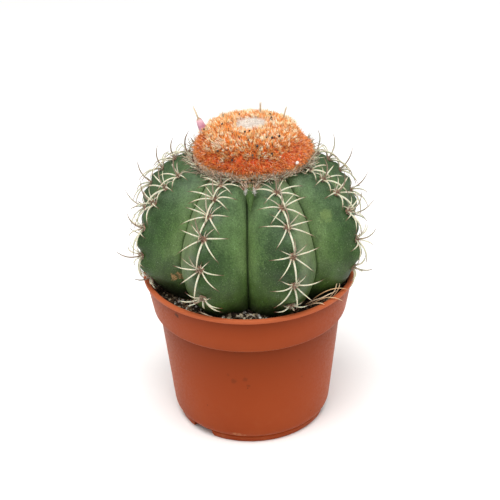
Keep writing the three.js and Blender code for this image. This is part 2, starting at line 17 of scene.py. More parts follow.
import bmesh
import bpy
import numpy as np
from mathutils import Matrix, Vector


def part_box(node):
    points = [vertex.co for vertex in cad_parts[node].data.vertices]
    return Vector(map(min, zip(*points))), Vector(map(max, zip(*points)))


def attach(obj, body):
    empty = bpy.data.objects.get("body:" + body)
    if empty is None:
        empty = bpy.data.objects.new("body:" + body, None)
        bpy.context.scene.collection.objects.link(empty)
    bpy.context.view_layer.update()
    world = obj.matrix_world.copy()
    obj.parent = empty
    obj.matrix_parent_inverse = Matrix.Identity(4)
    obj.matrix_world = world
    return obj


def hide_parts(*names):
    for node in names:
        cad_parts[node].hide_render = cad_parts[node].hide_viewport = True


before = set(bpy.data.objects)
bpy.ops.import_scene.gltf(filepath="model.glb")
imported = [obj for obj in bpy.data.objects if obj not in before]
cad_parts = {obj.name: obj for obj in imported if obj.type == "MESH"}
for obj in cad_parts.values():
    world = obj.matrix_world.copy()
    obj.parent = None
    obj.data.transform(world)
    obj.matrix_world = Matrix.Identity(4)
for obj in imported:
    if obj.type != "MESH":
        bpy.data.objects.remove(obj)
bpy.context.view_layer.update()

MM = 0.001
GOLDEN_ANGLE = radians(137.508)
LUMP_WAVES = 9
CORNER_POINTS = 5

UP = np.array([0.0, 0.0, 1.0])
LEVEL = np.array([1.0, 1.0, 0.0])

Pair = tuple[float, float]
Point = tuple[float, float, float]
Four = tuple[float, float, float, float]
Stops = tuple[tuple[float, str], ...]
Array = np.ndarray
Piece = bpy.types.Object
Material = bpy.types.Material
Socket = bpy.types.NodeSocket
Source = Socket | float | str | Point | list[float]

log = logging.getLogger("potted_cactus")


class Draw(IntEnum):
    """Where the random draws of each growth start."""

    PAD_WOOL = 21
    YOUNG_SPINES = 33
    YOUNG_WOOL = 34
    CRUMBS = 41
    GRIT = 43
    FIBRES = 46
    CHUNKS = 51
    BRISTLES = 60
    TUFTS = 61
    CROWN = 62
    SEEDS = 66
    SKIRT_WOOL = 73
    OLD_SPINES = 76


# Numbers and directions


def chance(index: float) -> float:
    """The same number between 0 and 1 for the same index, as the solids use it."""
    value = math.sin(index * 12.9898 + 4.1414) * 43758.5453
    return value - math.floor(value)


def spread(index: float, amount: float) -> float:
    """A repeatable number between -amount and amount."""
    return (2 * chance(index) - 1) * amount


def around(azimuth: Array | float) -> Array:
    """Level unit vectors at azimuths in radians."""
    azimuth = np.asarray(azimuth, float)
    return np.stack([np.sin(azimuth), -np.cos(azimuth), np.zeros_like(azimuth)], -1)


def beside(azimuth: Array | float) -> Array:
    """Level unit vectors a quarter turn on from azimuths in radians."""
    azimuth = np.asarray(azimuth, float)
    return np.stack([np.cos(azimuth), np.sin(azimuth), np.zeros_like(azimuth)], -1)


def unit(vectors: Array) -> Array:
    """The vectors at length one."""
    length = np.linalg.norm(vectors, axis=-1, keepdims=True)
    return vectors / np.maximum(length, 1e-9)


def lumps(points: Array, size: float, seed: int) -> Array:
    """Smooth relief between about -1 and 1 over points in space.

    Args:
        points: Places, in millimetres.
        size: The width of one lump.
        seed: Chooses the relief.

    Returns:
        One height per point.
    """
    rng = np.random.default_rng(seed)
    directions = unit(rng.normal(size=(LUMP_WAVES, 3))) * (2 * pi / (2 * size))
    directions *= rng.uniform(0.6, 1.5, (LUMP_WAVES, 1))
    phases = rng.uniform(0, 2 * pi, LUMP_WAVES)
    return np.sin(points @ directions.T + phases).sum(-1) / math.sqrt(LUMP_WAVES)


def layered(points: Array, layers: tuple[Point, ...]) -> Array:
    """Relief in layers, each with its height, the width of its lumps and its seed."""
    return sum(height * lumps(points, size, int(seed)) for height, size, seed in layers)


def arc(root: Array, bend: Array, tip: Array, share: Array | float) -> Array:
    """Places at shares of the way along curves from a root, pulled by a bend, to a tip."""
    return (1 - share) ** 2 * root + 2 * share * (1 - share) * bend + share**2 * tip


def halfway(rng: np.random.Generator, root: Array, tip: Array, stray: float) -> Array:
    """The middles between two ends of each strand, straying by normal draws."""
    return (root + tip) / 2 + rng.normal(0, stray, root.shape)


def smooth_line(points: Sequence[Pair], count: int) -> Array:
    """A curve through a few points, sampled at even distances.

    Args:
        points: The places that the curve passes.
        count: How many samples to take.

    Returns:
        An array of samples, one row each.
    """
    marks = np.array(points, float)
    ends = np.vstack([2 * marks[0] - marks[1], marks, 2 * marks[-1] - marks[-2]])
    dense = []
    for i in range(1, len(ends) - 2):
        share = np.linspace(0, 1, 24, endpoint=False)[:, None]
        a, b, c, d = ends[i - 1 : i + 3]
        dense.append(
            0.5 * (2 * b + (c - a) * share + (2 * a - 5 * b + 4 * c - d) * share**2
                   + (3 * b - a - 3 * c + d) * share**3)
        )
    line = np.vstack([*dense, marks[-1:]])
    travel = np.concatenate([[0], np.cumsum(np.linalg.norm(np.diff(line, axis=0), axis=1))])
    even = np.linspace(0, travel[-1], count)
    return np.stack([np.interp(even, travel, line[:, k]) for k in range(line.shape[1])], -1)


def rounded(corners: Sequence[Point]) -> Array:
    """An outline whose corners are eased.

    Args:
        corners: Radius, height and the easing distance of each corner.

    Returns:
        The outline's points, as radius and height.
    """
    line = []
    for i, (radius, height, ease) in enumerate(corners):
        here = np.array([radius, height])
        if ease <= 0 or i in (0, len(corners) - 1):
            line.append(here)
            continue
        back = np.array(corners[i - 1][:2]) - here
        ahead = np.array(corners[i + 1][:2]) - here
        start = here + back * min(0.48, ease / np.linalg.norm(back))
        end = here + ahead * min(0.48, ease / np.linalg.norm(ahead))
        for share in np.linspace(0, 1, CORNER_POINTS):
            line.append(arc(start, here, end, share))
    return np.array(line)


# Meshes


def keep_on(mesh: bpy.types.Mesh, facts: dict[str, Array]) -> None:
    """Keeps numbers on a mesh's vertices, by name."""
    for key, values in facts.items():
        layer = mesh.attributes.new(key, "FLOAT", "POINT")
        layer.data.foreach_set("value", np.asarray(values, np.float32))


def add_mesh(
    name: str, points: Array, faces: list[Array], facts: dict[str, Array] | None = None
) -> Piece:
    """Makes an object from arrays.

    Args:
        name: The object's name.
        points: Vertices in millimetres.
        faces: Blocks of faces, each block an array with one row per face.
        facts: Numbers kept on the vertices, by name.

    Returns:
        The new object, linked to the scene.
    """
    mesh = bpy.data.meshes.new(name)
    blocks = [np.asarray(block, np.int32) for block in faces if len(block)]
    loops = np.concatenate([block.ravel() for block in blocks])
    sizes = np.concatenate([np.full(len(block), block.shape[1]) for block in blocks])
    mesh.vertices.add(len(points))
    mesh.vertices.foreach_set("co", (np.asarray(points, np.float32) * MM).ravel())
    mesh.loops.add(len(loops))
    mesh.loops.foreach_set("vertex_index", loops)
    mesh.polygons.add(len(sizes))
    starts = np.concatenate([[0], np.cumsum(sizes)[:-1]]).astype(np.int32)
    mesh.polygons.foreach_set("loop_start", starts)
    mesh.update(calc_edges=True)
    keep_on(mesh, facts or {})
    mesh.polygons.foreach_set("use_smooth", np.ones(len(sizes), bool))
    made = bpy.data.objects.new(name, mesh)
    bpy.context.scene.collection.objects.link(made)
    return made


def add_felt(name: str, points: Array, faces: list[Array], shade: Array, along: float) -> Piece:
    """Makes a mesh that wears one of the wools, all of it at one place along the strands."""
    return add_mesh(name, points, faces, {"shade": shade, "along": np.full(len(points), along)})


def net_faces(rows: int, columns: int) -> Array:
    """Four-cornered faces of a net that closes on itself after its last column."""
    row, column = np.meshgrid(np.arange(rows - 1), np.arange(columns), indexing="ij")
    here = row * columns + column
    after = row * columns + (column + 1) % columns
    return np.stack([here, after, after + columns, here + columns], -1).reshape(-1, 4)


def closed_net(rows: int, columns: int) -> list[Array]:
    """Blocks of faces of a net that is closed at both ends: walls, first ring, last ring."""
    last = np.arange((rows - 1) * columns, rows * columns)
    return [net_faces(rows, columns), np.arange(columns)[::-1][None], last[None]]


def turned(profile: Array, sides: int) -> tuple[Array, list[Array]]:
    """A closed solid turned about +Z.

    Args:
        profile: Radius and height of each ring, from the lower end to the upper one.
        sides: How many points a ring has.

    Returns:
        The points, ring by ring, and the blocks of faces.
    """
    directions = around(np.arange(sides) * 2 * pi / sides)
    points = profile[:, None, :1] * directions[None]
    points[..., 2] = profile[:, 1:2]
    return points.reshape(-1, 3), closed_net(len(profile), sides)


def strands(
    name: str,
    root: Array,
    bend: Array,
    tip: Array,
    radius: Array,
    shade: Array,
    sides: int = 3,
    steps: int = 3,
    thin_from: float = 1.6,
    wave: float = 0.0,
    seed: int = 0,
) -> Piece:
    """Many closed tapering strands in one mesh.

    Args:
        name: The object's name.
        root: Where each strand starts.
        bend: The place that pulls each strand out of straight.
        tip: Where each strand ends in a point.
        radius: Each strand's radius at its root.
        shade: A number between 0 and 1 that colours each strand.
        sides: Sides of a strand.
        steps: Rings along a strand.
        thin_from: A higher power keeps the strands thick for longer.
        wave: Sideways waviness as a share of the length.
        seed: Chooses the waves.

    Returns:
        The object, with the attributes along and shade on its vertices.
    """
    count = len(root)
    share = np.linspace(0, 1, steps + 1)[None, :, None]
    line = arc(root[:, None], bend[:, None], tip[:, None], share)
    chord = tip - root
    if wave:
        rng = np.random.default_rng(seed)
        length = np.linalg.norm(chord, axis=1)[:, None, None]
        for turns in (1.3, 2.6):
            sideways = unit(np.cross(rng.normal(size=(count, 3)), chord))[:, None]
            phase = rng.uniform(0, 2 * pi, (count, 1, 1))
            swing = np.sin(2 * pi * turns * share + phase) - np.sin(phase)
            line = line + wave * length * swing * sideways / turns
    tangent = unit(np.gradient(line, axis=1))
    upright = np.abs(chord[:, 2]) > 0.8 * np.linalg.norm(chord, axis=1)
    reference = np.where(upright[:, None], [1.0, 0.0, 0.0], [0.0, 0.0, 1.0])[:, None]
    across = unit(np.cross(tangent, reference))
    over = np.cross(tangent, across)
    turn = np.arange(sides) * 2 * pi / sides
    taper = radius[:, None, None] * (1 - share**thin_from)
    ring = np.cos(turn)[None, None, :, None] * across[:, :, None]
    ring = ring + np.sin(turn)[None, None, :, None] * over[:, :, None]
    rings = (line[:, :, None] + taper[..., None] * ring)[:, :steps].reshape(count, -1, 3)
    points = np.concatenate([rings, line[:, -1:]], 1)
    size = steps * sides + 1
    start = (np.arange(count) * size)[:, None, None]
    walls = (start + net_faces(steps, sides)[None]).reshape(-1, 4)
    last = (steps - 1) * sides + np.arange(sides)
    ends = np.stack([last, np.roll(last, -1), np.full(sides, size - 1)], -1)
    ends = (start + ends[None]).reshape(-1, 3)
    feet = (start + np.arange(sides)[::-1][None, None]).reshape(-1, sides)
    along = np.concatenate([np.repeat(share[0, :steps, 0], sides), [1.0]])
    return add_mesh(
        name,
        points.reshape(-1, 3),
        [walls, ends, feet],
        {"along": np.tile(along, count), "shade": np.repeat(shade, size)},
    )


def grains(
    name: str, centre: Array, size: Array, shade: Array, roughness: float, seed: int
) -> Piece:
    """Small angular lumps in one mesh.

    Args:
        name: The object's name.
        centre: The middle of each lump.
        size: Each lump's radii along x, y and z.
        shade: A number between 0 and 1 that colours each lump.
        roughness: How far the corners stray, as a share of the radius.
        seed: Chooses the shapes.

    Returns:
        The object, with the attribute shade on its vertices.
    """
    ball = bmesh.new()
    bmesh.ops.create_icosphere(ball, subdivisions=1, radius=1)
    corners = np.array([vert.co[:] for vert in ball.verts])
    sides = np.array([[vert.index for vert in face.verts] for face in ball.faces])
    ball.free()
    rng = np.random.default_rng(seed)
    count = len(centre)
    shapes = corners[None] * (1 + rng.uniform(-roughness, roughness, (count, len(corners), 1)))
    shapes = shapes * size[:, None]
    turns = np.linalg.qr(rng.normal(size=(count, 3, 3)))[0]
    turns *= np.sign(np.linalg.det(turns))[:, None, None]
    points = centre[:, None] + np.einsum("nij,nkj->nki", turns, shapes)
    faces = np.arange(count)[:, None, None] * len(corners) + sides[None]
    made = add_mesh(
        name,
        points.reshape(-1, 3),
        [faces.reshape(-1, 3)],
        {"shade": np.repeat(shade, len(corners))},
    )
    made.data.polygons.foreach_set("use_smooth", np.zeros(len(made.data.polygons), bool))
    return made


def cut(solid: Piece, tools: list[Piece]) -> None:
    """Cuts the tools out of a solid and removes them.

    Args:
        solid: What is cut.
        tools: Closed bodies.
    """
    for tool in tools:
        step = solid.modifiers.new(tool.name, "BOOLEAN")
        step.operation = "DIFFERENCE"
        step.solver = "EXACT"
        step.object = tool
    graph = bpy.context.evaluated_depsgraph_get()
    result = bpy.data.meshes.new_from_object(solid.evaluated_get(graph))
    solid.modifiers.clear()
    old = solid.data
    solid.data = result
    result.name = solid.name
    bpy.data.meshes.remove(old)
    for tool in tools:
        bpy.data.objects.remove(tool)


def place(piece: Piece, node: str, finish: Material) -> None:
    """Dresses a piece, says which solid it stands for and reports it.

    Args:
        piece: The piece.
        node: The solid's name.
        finish: The piece's material.
    """
    piece.data.materials.clear()
    piece.data.materials.append(finish)
    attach(piece, "root")
    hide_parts(node)
    piece.data.calc_loop_triangles()
    log.info("%s stands for %s: %d triangles", piece.name, node, len(piece.data.loop_triangles))


# Finishes


def paint(code: str) -> Four:
    """A linear colour from six hexadecimal digits."""
    parts = [int(code[i : i + 2], 16) / 255 for i in (0, 2, 4)]
    linear = [part / 12.92 if part <= 0.04045 else ((part + 0.055) / 1.055) ** 2.4 for part in parts]
    return (*linear, 1.0)


class Shader:
    """A material's nodes, with a short method for each kind that the finishes use."""

    def __init__(self, name: str) -> None:
        """Starts a material that has only its surface shader.

        Args:
            name: The material's name.
        """
        self.material = bpy.data.materials.new(name)
        self.material.use_nodes = True
        self.tree = self.material.node_tree
        self.surface = self.tree.nodes["Principled BSDF"]
        self.coordinates = self.tree.nodes.new("ShaderNodeTexCoord").outputs["Object"]

    def set(self, **sockets: float | tuple[float, ...]) -> None:
        """Sets the surface's own sockets; an underscore in a name stands for a space."""
        for key, value in sockets.items():
            self.surface.inputs[key.replace("_", " ")].default_value = value

    def feed(self, name: str, source: Socket) -> None:
        """Links a socket of the surface to a source."""
        self.tree.links.new(source, self.surface.inputs[name])

    def node(self, kind: str, inputs: dict[str | int, Source], **options: str) -> bpy.types.Node:
        """Adds a node and sets or links its sockets.

        Args:
            kind: The end of the node type's name.
            inputs: A number, a colour's code or another node's socket for each socket.
            options: The node's own settings.

        Returns:
            The new node.
        """
        made = self.tree.nodes.new("ShaderNode" + kind)
        for key, option in options.items():
            setattr(made, key, option)
        for key, value in inputs.items():
            if isinstance(value, Socket):
                self.tree.links.new(value, made.inputs[key])
            else:
                made.inputs[key].default_value = paint(value) if isinstance(value, str) else value
        return made

    def read(self, name: str) -> Socket:
        """A number kept on the vertices."""
        return self.node("Attribute", {}, attribute_name=name).outputs["Fac"]

    def noise(self, scale: float, detail: float = 3.0, stretch: Point = (1, 1, 1)) -> Socket:
        """Cloudy noise with so many features to a metre; a small stretch draws them out."""
        vector = self.node("Mapping", {"Scale": stretch, "Vector": self.coordinates}).outputs["Vector"]
        return self.node("TexNoise", {"Scale": scale, "Detail": detail, "Vector": vector}).outputs["Fac"]

    def cells(self, scale: float) -> Socket:
        """Distances to scattered points, of which a metre holds as many as the scale."""
        return self.node("TexVoronoi", {"Scale": scale, "Vector": self.coordinates}).outputs["Distance"]

    def fit(self, value: Socket, low: float, high: float, start: float = 0.0, end: float = 1.0) -> Socket:
        """Takes a value from the range low to high to start to end, smoothly and clamped."""
        inputs = {"Value": value, "From Min": low, "From Max": high, "To Min": start, "To Max": end}
        return self.node("MapRange", inputs, interpolation_type="SMOOTHSTEP").outputs["Result"]

    def sum_up(self, operation: str, first: Socket, second: Socket | float) -> Socket:
        """One step of arithmetic, such as ADD or MULTIPLY."""
        return self.node("Math", {0: first, 1: second}, operation=operation).outputs[0]

    def near(self, spot: Point | Four, reach: float, wobble: float = 0.0) -> Socket:
        """A soft round mark.

        Args:
            spot: Its middle, in millimetres.
            reach: Its radius, in millimetres.
            wobble: How far its edge strays.

        Returns:
            1 in its middle and 0 outside.
        """
        middle = [value * MM for value in spot[:3]]
        made = self.node("VectorMath", {0: self.coordinates, 1: middle}, operation="DISTANCE")
        distance = made.outputs["Value"]
        if wobble:
            ragged = self.fit(self.noise(700, 4), 0.3, 0.7, -wobble * MM, wobble * MM)
            distance = self.sum_up("ADD", distance, ragged)
        return self.fit(distance, 0.35 * reach * MM, reach * MM, 1.0, 0.0)

    def ramp(self, factor: Socket, stops: Stops) -> Socket:
        """Colours along a factor.

        Args:
            factor: A number from 0 to 1.
            stops: Places on the factor and their colours' codes.

        Returns:
            The colour.
        """
        made = self.node("ValToRGB", {"Fac": factor})
        band = made.color_ramp
        while len(band.elements) < len(stops):
            band.elements.new(1.0)
        for element, (position, code) in zip(band.elements, stops):
            element.position = position
            element.color = paint(code)
        return made.outputs["Color"]

    def mix(self, factor: Source, first: Source, second: Source, blend: str = "MIX") -> Socket:
        """Blends a colour with a second one, by a factor."""
        inputs = {0: factor, 6: first, 7: second}
        return self.node("Mix", inputs, data_type="RGBA", blend_type=blend).outputs[2]

    def lay(self, colour: Socket, code: str, mask: Socket, amount: Socket | float) -> Socket:
        """Lays one colour over another where a mask shows, by an amount."""
        return self.mix(self.sum_up("MULTIPLY", mask, amount), colour, code)

    def mottle(self, colour: Socket, amount: float, pattern: Socket, greys: Stops) -> Socket:
        """Darkens a colour by a pattern of greys, by an amount."""
        return self.mix(amount, colour, self.ramp(pattern, greys), "MULTIPLY")

    def bump(
        self, height: Socket, depth: float, strength: float = 1.0, under: Socket | None = None
    ) -> Socket:
        """Relief of a depth in millimetres, on top of another relief if one is given."""
        inputs = {"Distance": depth * MM, "Strength": strength, "Height": height}
        return self.node("Bump", inputs | ({} if under is None else {"Normal": under})).outputs["Normal"]


@dataclass(frozen=True)
class PotPlastic:
    """Satin terracotta plastic with faint clouds, specks, a worn lip with a painted highlight, scuffs with
    a painted glint by the foot, a dusty foot, and painted shade and painted light under the lip and the
    collar.
    """

    body: str = "8c3b19"
    pale: str = "9a4721"
    deep: str = "7d3114"
    # Colour of the painted light below the collar step and at the top of the collar.
    lit: str = "ba4f22"
    # Colour of the lip's worn edge, which is also a painted highlight.
    rim: str = "a45c3c"
    # Colour of the painted shade under the lip and under the collar step.
    shade: str = "5c2207"
    speck: str = "43210f"
    dust: str = "b07a52"
    roughness: float = 0.44
    rim_stain: Four = (-34.7, -37.0, 74.3, 1.7)
    stains: tuple[Four, ...] = (
        (22.9, -38.1, 48.5, 0.7), (-8.6, -42.7, 40.1, 1.9), (-3.1, -43.6, 41.6, 1.6),
        (-1.5, -43.3, 37.7, 1.2), (-11.3, -42.4, 43.6, 0.9), (-4.2, -45.2, 58.4, 1.3),
        (-8.0, -44.8, 58.2, 0.9), (24.0, -35.5, 37.0, 0.8), (-29.5, -30.0, 20.0, 1.0),
    )
    # Pale scuffs on the bend from the wall into the foot, which also paint a highlight on that bend.
    scrapes_and_glint: tuple[Four, ...] = (
        (-8.8, -38.2, 6.2, 1.6), (-6.6, -38.6, 6.1, 1.6), (-4.4, -38.9, 6.0, 1.4),
    )
    sheen_tint: Four = (1.0, 0.42, 0.2, 1.0)

    def make(self) -> Material:
        """Builds the material.

        Returns:
            The material.
        """
        shader = Shader("pot_plastic")
        stops = ((0.3, self.deep), (0.5, self.body), (0.75, self.pale))
        colour = shader.ramp(shader.noise(28, 5), stops)
        colour = shader.mix(0.55, colour, self.body)
        streaks = shader.fit(shader.noise(60, 4, (1, 1, 0.12)), 0.5, 0.8, 0.0, 0.12)
        colour = shader.mix(streaks, colour, self.pale)
        # Painted light below the collar step and at the top of the collar.
        colour = shader.mix(shader.read("painted_light"), colour, self.lit)
        # The lip takes the paler rim colour, partly wear and partly a painted highlight; the collar's lower
        # edge takes a little of it.
        rub_and_highlight = shader.fit(shader.read("edge"), 0.2, 1.0, 0.0, 0.6)
        colour = shader.mix(rub_and_highlight, colour, self.rim)
        dust = shader.fit(shader.noise(240, 6), 0.5, 0.8, 0.0, 0.6)
        colour = shader.lay(colour, self.dust, shader.read("foot"), dust)
        # Painted shade right under the lip and right under the collar step.
        colour = shader.lay(colour, self.shade, shader.read("painted_shade"), 0.85)
        specks = shader.fit(shader.cells(150), 0.035, 0.06, 1.0, 0.0)
        sparse = shader.fit(shader.noise(45, 2), 0.58, 0.62)
        colour = shader.lay(colour, self.speck, specks, sparse)
        colour = shader.lay(colour, self.speck, shader.near(self.rim_stain, self.rim_stain[3], 0.4), 0.9)
        for stain in self.stains:
            colour = shader.lay(colour, self.speck, shader.near(stain, stain[3], 0.4), 0.3)
        # Scuffs that also paint a highlight on the bend into the foot.
        for scrape_glint in self.scrapes_and_glint:
            colour = shader.lay(colour, self.dust, shader.near(scrape_glint, scrape_glint[3], 0.5), 0.45)
        shader.feed("Base Color", colour)
        smooth, scuffed = self.roughness - 0.08, self.roughness + 0.1
        shader.feed("Roughness", shader.fit(shader.noise(900, 3), 0.3, 0.7, smooth, scuffed))
        fine = shader.bump(shader.noise(1600, 3), 0.03)
        shader.feed("Normal", shader.bump(shader.noise(35, 2), 0.5, 0.25, fine))
        shader.set(Specular_IOR_Level=0.06)
        shader.set(Sheen_Weight=0.12, Sheen_Roughness=0.4, Sheen_Tint=self.sheen_tint)
        return shader.material


@dataclass(frozen=True)
class Grained:
    """One run of colours along a number on the vertices, with a mottle and a fine relief.

    A pattern is its scale and detail; the mottle also has its amount first, and the relief has
    its depth in millimetres last.
    """

    name: str
    by: str
    stops: Stops
    greys: Stops
    mottle: Point
    relief: Point
    sockets: tuple[tuple[str, float], ...]

    def make(self) -> Material:
        """Builds the material.

        Returns:
            The material.
        """
        shader = Shader(self.name)
        colour = shader.ramp(shader.read(self.by), self.stops)
        amount, *pattern = self.mottle
        shader.feed("Base Color", shader.mottle(colour, amount, shader.noise(*pattern), self.greys))
        *pattern, depth = self.relief
        shader.feed("Normal", shader.bump(shader.noise(*pattern), depth))
        shader.set(**dict(self.sockets))
        return shader.material


@dataclass(frozen=True)
class StemSkin:
    """Matt green skin: dark crests, greyer shoulders with a painted highlight, pale bands beside grooves
    darkened with painted shade, a painted sheen on the flanks turned away from the front, patches of
    painted light and painted shade, painted shade towards the soil and fine dots.
    """

    crest: str = "365426"
    flank: str = "4f6d36"
    band: str = "68834b"
    # groove: colour of the painted shade in the grooves between ribs.
    groove: str = "2a3d1b"
    # Colour of the upper half's grey-blue waxy coat, which is also a painted highlight.
    bloom_highlight: str = "6a8464"
    # low and foot: colours of the painted shade that darkens the body towards the soil.
    low: str = "3c581b"
    foot: str = "1f2d12"
    # outer: colour of the painted sheen on the rib flanks turned away from the front.
    outer: str = "7e9062"
    # Colours of the patches of painted light and painted shade.
    painted_light_tone: str = "6a8850"
    painted_shade_tone: str = "2c451d"
    dot: str = "a9bd94"
    pore: str = "8ba376"
    scar: str = "9a7a4c"
    scar_edge: str = "5c4526"
    spot: str = "a9bf6c"
    scar_spots: tuple[Point, ...] = ((-35.4, -27.4, 89.6), (-33.3, -28.2, 90.9), (-31.6, -28.8, 90.4))
    pale_spot: Point = (35.8, -26.0, 119.4)
    # Painted light: paler patches where the upper front flanks are lit; each is a place and its reach.
    painted_light_patches: tuple[Four, ...] = (
        (-8.5, -42.0, 120.0, 13.0), (12.5, -35.0, 128.0, 8.0), (-4.0, -31.5, 131.0, 8.0),
    )
    # Painted shade: darker patches on the right front rib's inner flank and low on the left rib.
    painted_shade_patches: tuple[Four, ...] = (
        (10.0, -46.5, 115.0, 9.5), (11.5, -50.0, 102.5, 10.0), (-36.5, -28.0, 93.0, 11.0),
    )

    def make(self) -> Material:
        """Builds the material.

        Returns:
            The material.
        """
        shader = Shader("stem_skin")
        uneven = shader.fit(shader.noise(55, 4), 0.25, 0.75, -0.12, 0.12)
        across = shader.sum_up("ADD", shader.read("across"), uneven)
        codes = (self.crest, self.crest, self.flank, self.band, self.band)
        colour = shader.ramp(across, tuple(zip((0.0, 0.34, 0.66, 0.9, 1.0), codes)))
        rise = shader.sum_up("ADD", shader.read("rise"), uneven)
        # Painted sheen on the flanks turned away from the front, stronger higher up.
        sheen_flank = shader.sum_up("ADD", shader.read("outer"), shader.sum_up("MULTIPLY", uneven, 0.7))
        colour = shader.lay(colour, self.outer, shader.fit(sheen_flank, 0.04, 0.3), shader.fit(rise, 0.12, 0.8))
        # Patches of painted light and painted shade.
        for clouds, code, amount in (
            (self.painted_light_patches, self.painted_light_tone, 0.5), (self.painted_shade_patches, self.painted_shade_tone, 0.65)
        ):
            for cloud in clouds:
                colour = shader.lay(colour, code, shader.near(cloud, cloud[3], 2.5), amount)
        # Towards the soil the body is darkened with painted shade, first low and then foot.
        for start, end, amount, code in (
            # The upper half takes the grey-blue waxy coat with a painted highlight.
            (0.5, 1.0, 0.35, self.bloom_highlight), (0.55, 0.15, 0.85, self.low), (0.19, 0.01, 0.92, self.foot)
        ):
            colour = shader.mix(shader.fit(rise, start, end, 0.0, amount), colour, code)
        # Painted shade at the bottom of each groove.
        colour = shader.mix(shader.fit(shader.read("across"), 0.955, 0.99, 0.0, 0.75), colour, self.groove)
        streaks = shader.noise(260, 5, (1, 1, 0.3))
        colour = shader.mottle(colour, 0.55, streaks, ((0.3, "9a9a9a"), (0.7, "ffffff")))
        greys = ((0.34, "9c9c9c"), (0.5, "dcdcdc"), (0.64, "ffffff"))
        colour = shader.mottle(colour, 0.6, shader.noise(1500, 6), greys)
        colour = shader.mix(shader.fit(shader.cells(1250), 0.12, 0.3, 0.22, 0.0), colour, self.pore)
        present = shader.fit(shader.noise(330, 2), 0.5, 0.66)
        dots = shader.sum_up("MULTIPLY", shader.fit(shader.cells(620), 0.08, 0.2, 1.0, 0.0), present)
        colour = shader.lay(colour, self.dot, dots, 0.3)
        colour = shader.lay(colour, self.spot, shader.near(self.pale_spot, 4.0, 1.2), 0.16)
        for spot in self.scar_spots:
            colour = shader.lay(colour, self.scar_edge, shader.near(spot, 2.5, 1.0), 0.8)
        crust = shader.fit(shader.noise(1300, 4), 0.4, 0.58, 0.0, 0.9)
        for spot in self.scar_spots:
            colour = shader.lay(colour, self.scar, shader.near(spot, 2.2, 1.4), crust)
        shader.feed("Base Color", colour)
        shader.feed("Roughness", shader.fit(shader.noise(180, 3), 0.3, 0.7, 0.42, 0.6))
        grain = shader.bump(shader.noise(1900, 4), 0.05)
        dimple = shader.bump(dots, 0.06, 1.0, grain)
        shader.feed("Normal", shader.bump(shader.noise(110, 3), 0.5, 0.3, dimple))
        shader.set(Specular_IOR_Level=0.28)
        return shader.material


@dataclass(frozen=True)
class Horn:
    """Cream spines with a red-brown root and a brown tip; towards shade 1 they are grey-brown."""

    root: str = "7c4a35"
    cream: str = "d6d4be"
    ivory: str = "c8c4a8"
    tip: str = "6a4030"
    old: str = "7e6252"

    def make(self) -> Material:
        """Builds the material.

        Returns:
            The material.
        """
        shader = Shader("spine_horn")
        codes = (self.root, self.root, self.ivory, self.cream, self.ivory, self.tip, self.tip)
        colour = shader.ramp(shader.read("along"), tuple(zip((0.0, 0.1, 0.17, 0.3, 0.74, 0.9, 1.0), codes)))
        colour = shader.mix(shader.fit(shader.read("shade"), 0.3, 1.0, 0.0, 0.85), colour, self.old)
        rings = ((0.3, "b0a898"), (0.7, "ffffff"))
        shader.feed("Base Color", shader.mottle(colour, 0.45, shader.noise(1500, 3), rings))
        shader.feed("Normal", shader.bump(shader.noise(2400, 2), 0.04))
        shader.set(Roughness=0.45, Specular_IOR_Level=0.4, Subsurface_Weight=0.12, Subsurface_Scale=0.0006)
        return shader.material


@dataclass(frozen=True)
class Wool:
    """Soft strands whose colour runs from root to tip and changes with their shade."""

    name: str
    stops: Stops
    root_shade: str = "b8a894"
    roughness: float = 0.9
    sheen: float = 0.25

    def make(self) -> Material:
        """Builds the material.

        Returns:
            The material.
        """
        shader = Shader(self.name)
        colour = shader.ramp(shader.read("shade"), self.stops)
        depth = ((0.0, self.root_shade), (0.6, "ffffff"))
        colour = shader.mottle(colour, 0.85, shader.read("along"), depth)
        blotches = ((0.3, "c4bcb0"), (0.65, "ffffff"))
        shader.feed("Base Color", shader.mottle(colour, 0.5, shader.noise(420, 3), blotches))
        shader.set(Roughness=self.roughness, Specular_IOR_Level=0.2, Sheen_Weight=self.sheen)
        return shader.material


PEAT = Grained(
    "peat", "shade",
    ((0.0, "2c2218"), (0.5, "5e4a38"), (0.72, "9e7e5c"), (0.86, "e0cca8"), (1.0, "fffaf0")),
    ((0.3, "5a5a5a"), (0.6, "c8c8c8"), (0.8, "ffffff")), (0.9, 1100, 4), (2600, 5, 0.25),
    (("Roughness", 0.95), ("Specular_IOR_Level", 0.2)),
)
FRUIT_SKIN = Grained(
    "fruit_skin", "along",
    ((0.0, "dcb3bd"), (0.5, "c888a0"), (0.86, "dcb3bd"), (0.97, "a98c6d"), (1.0, "a98c6d")),
    ((0.3, "d8c8cc"), (0.7, "ffffff")), (0.6, 900, 4), (1800, 3, 0.05),
    (("Roughness", 0.38), ("Subsurface_Weight", 0.1), ("Subsurface_Scale", 0.001)),
)
SEED_COAT = Grained(
    "seed_coat", "shade", ((0.0, "100c0b"), (0.5, "2a1d18"), (1.0, "f2e7dd")),
    ((0.3, "909090"), (0.7, "ffffff")), (0.7, 3200, 3), (3600, 3, 0.05), (("Roughness", 0.35),),
)
AREOLE_WOOL = Wool(
    "areole_wool", ((0.0, "5a3a2a"), (0.3, "8c6450"), (0.65, "bc9c84"), (1.0, "e8d8c8")), "b09484"
)
YOUNG_WOOL = Wool("young_wool", ((0.0, "e8e2d8"), (1.0, "ffffff")), "e8e2d8")
YOUNG_SPINE = Wool(
    "young_spine", ((0.0, "9c6650"), (0.45, "c49c80"), (0.8, "e6d4bc"), (1.0, "f6ecde")), "c4a088", 0.5
)
STRAW = Wool("straw", ((0.0, "d0aa7c"), (1.0, "f4dfc0")), "b8906a", 0.8)
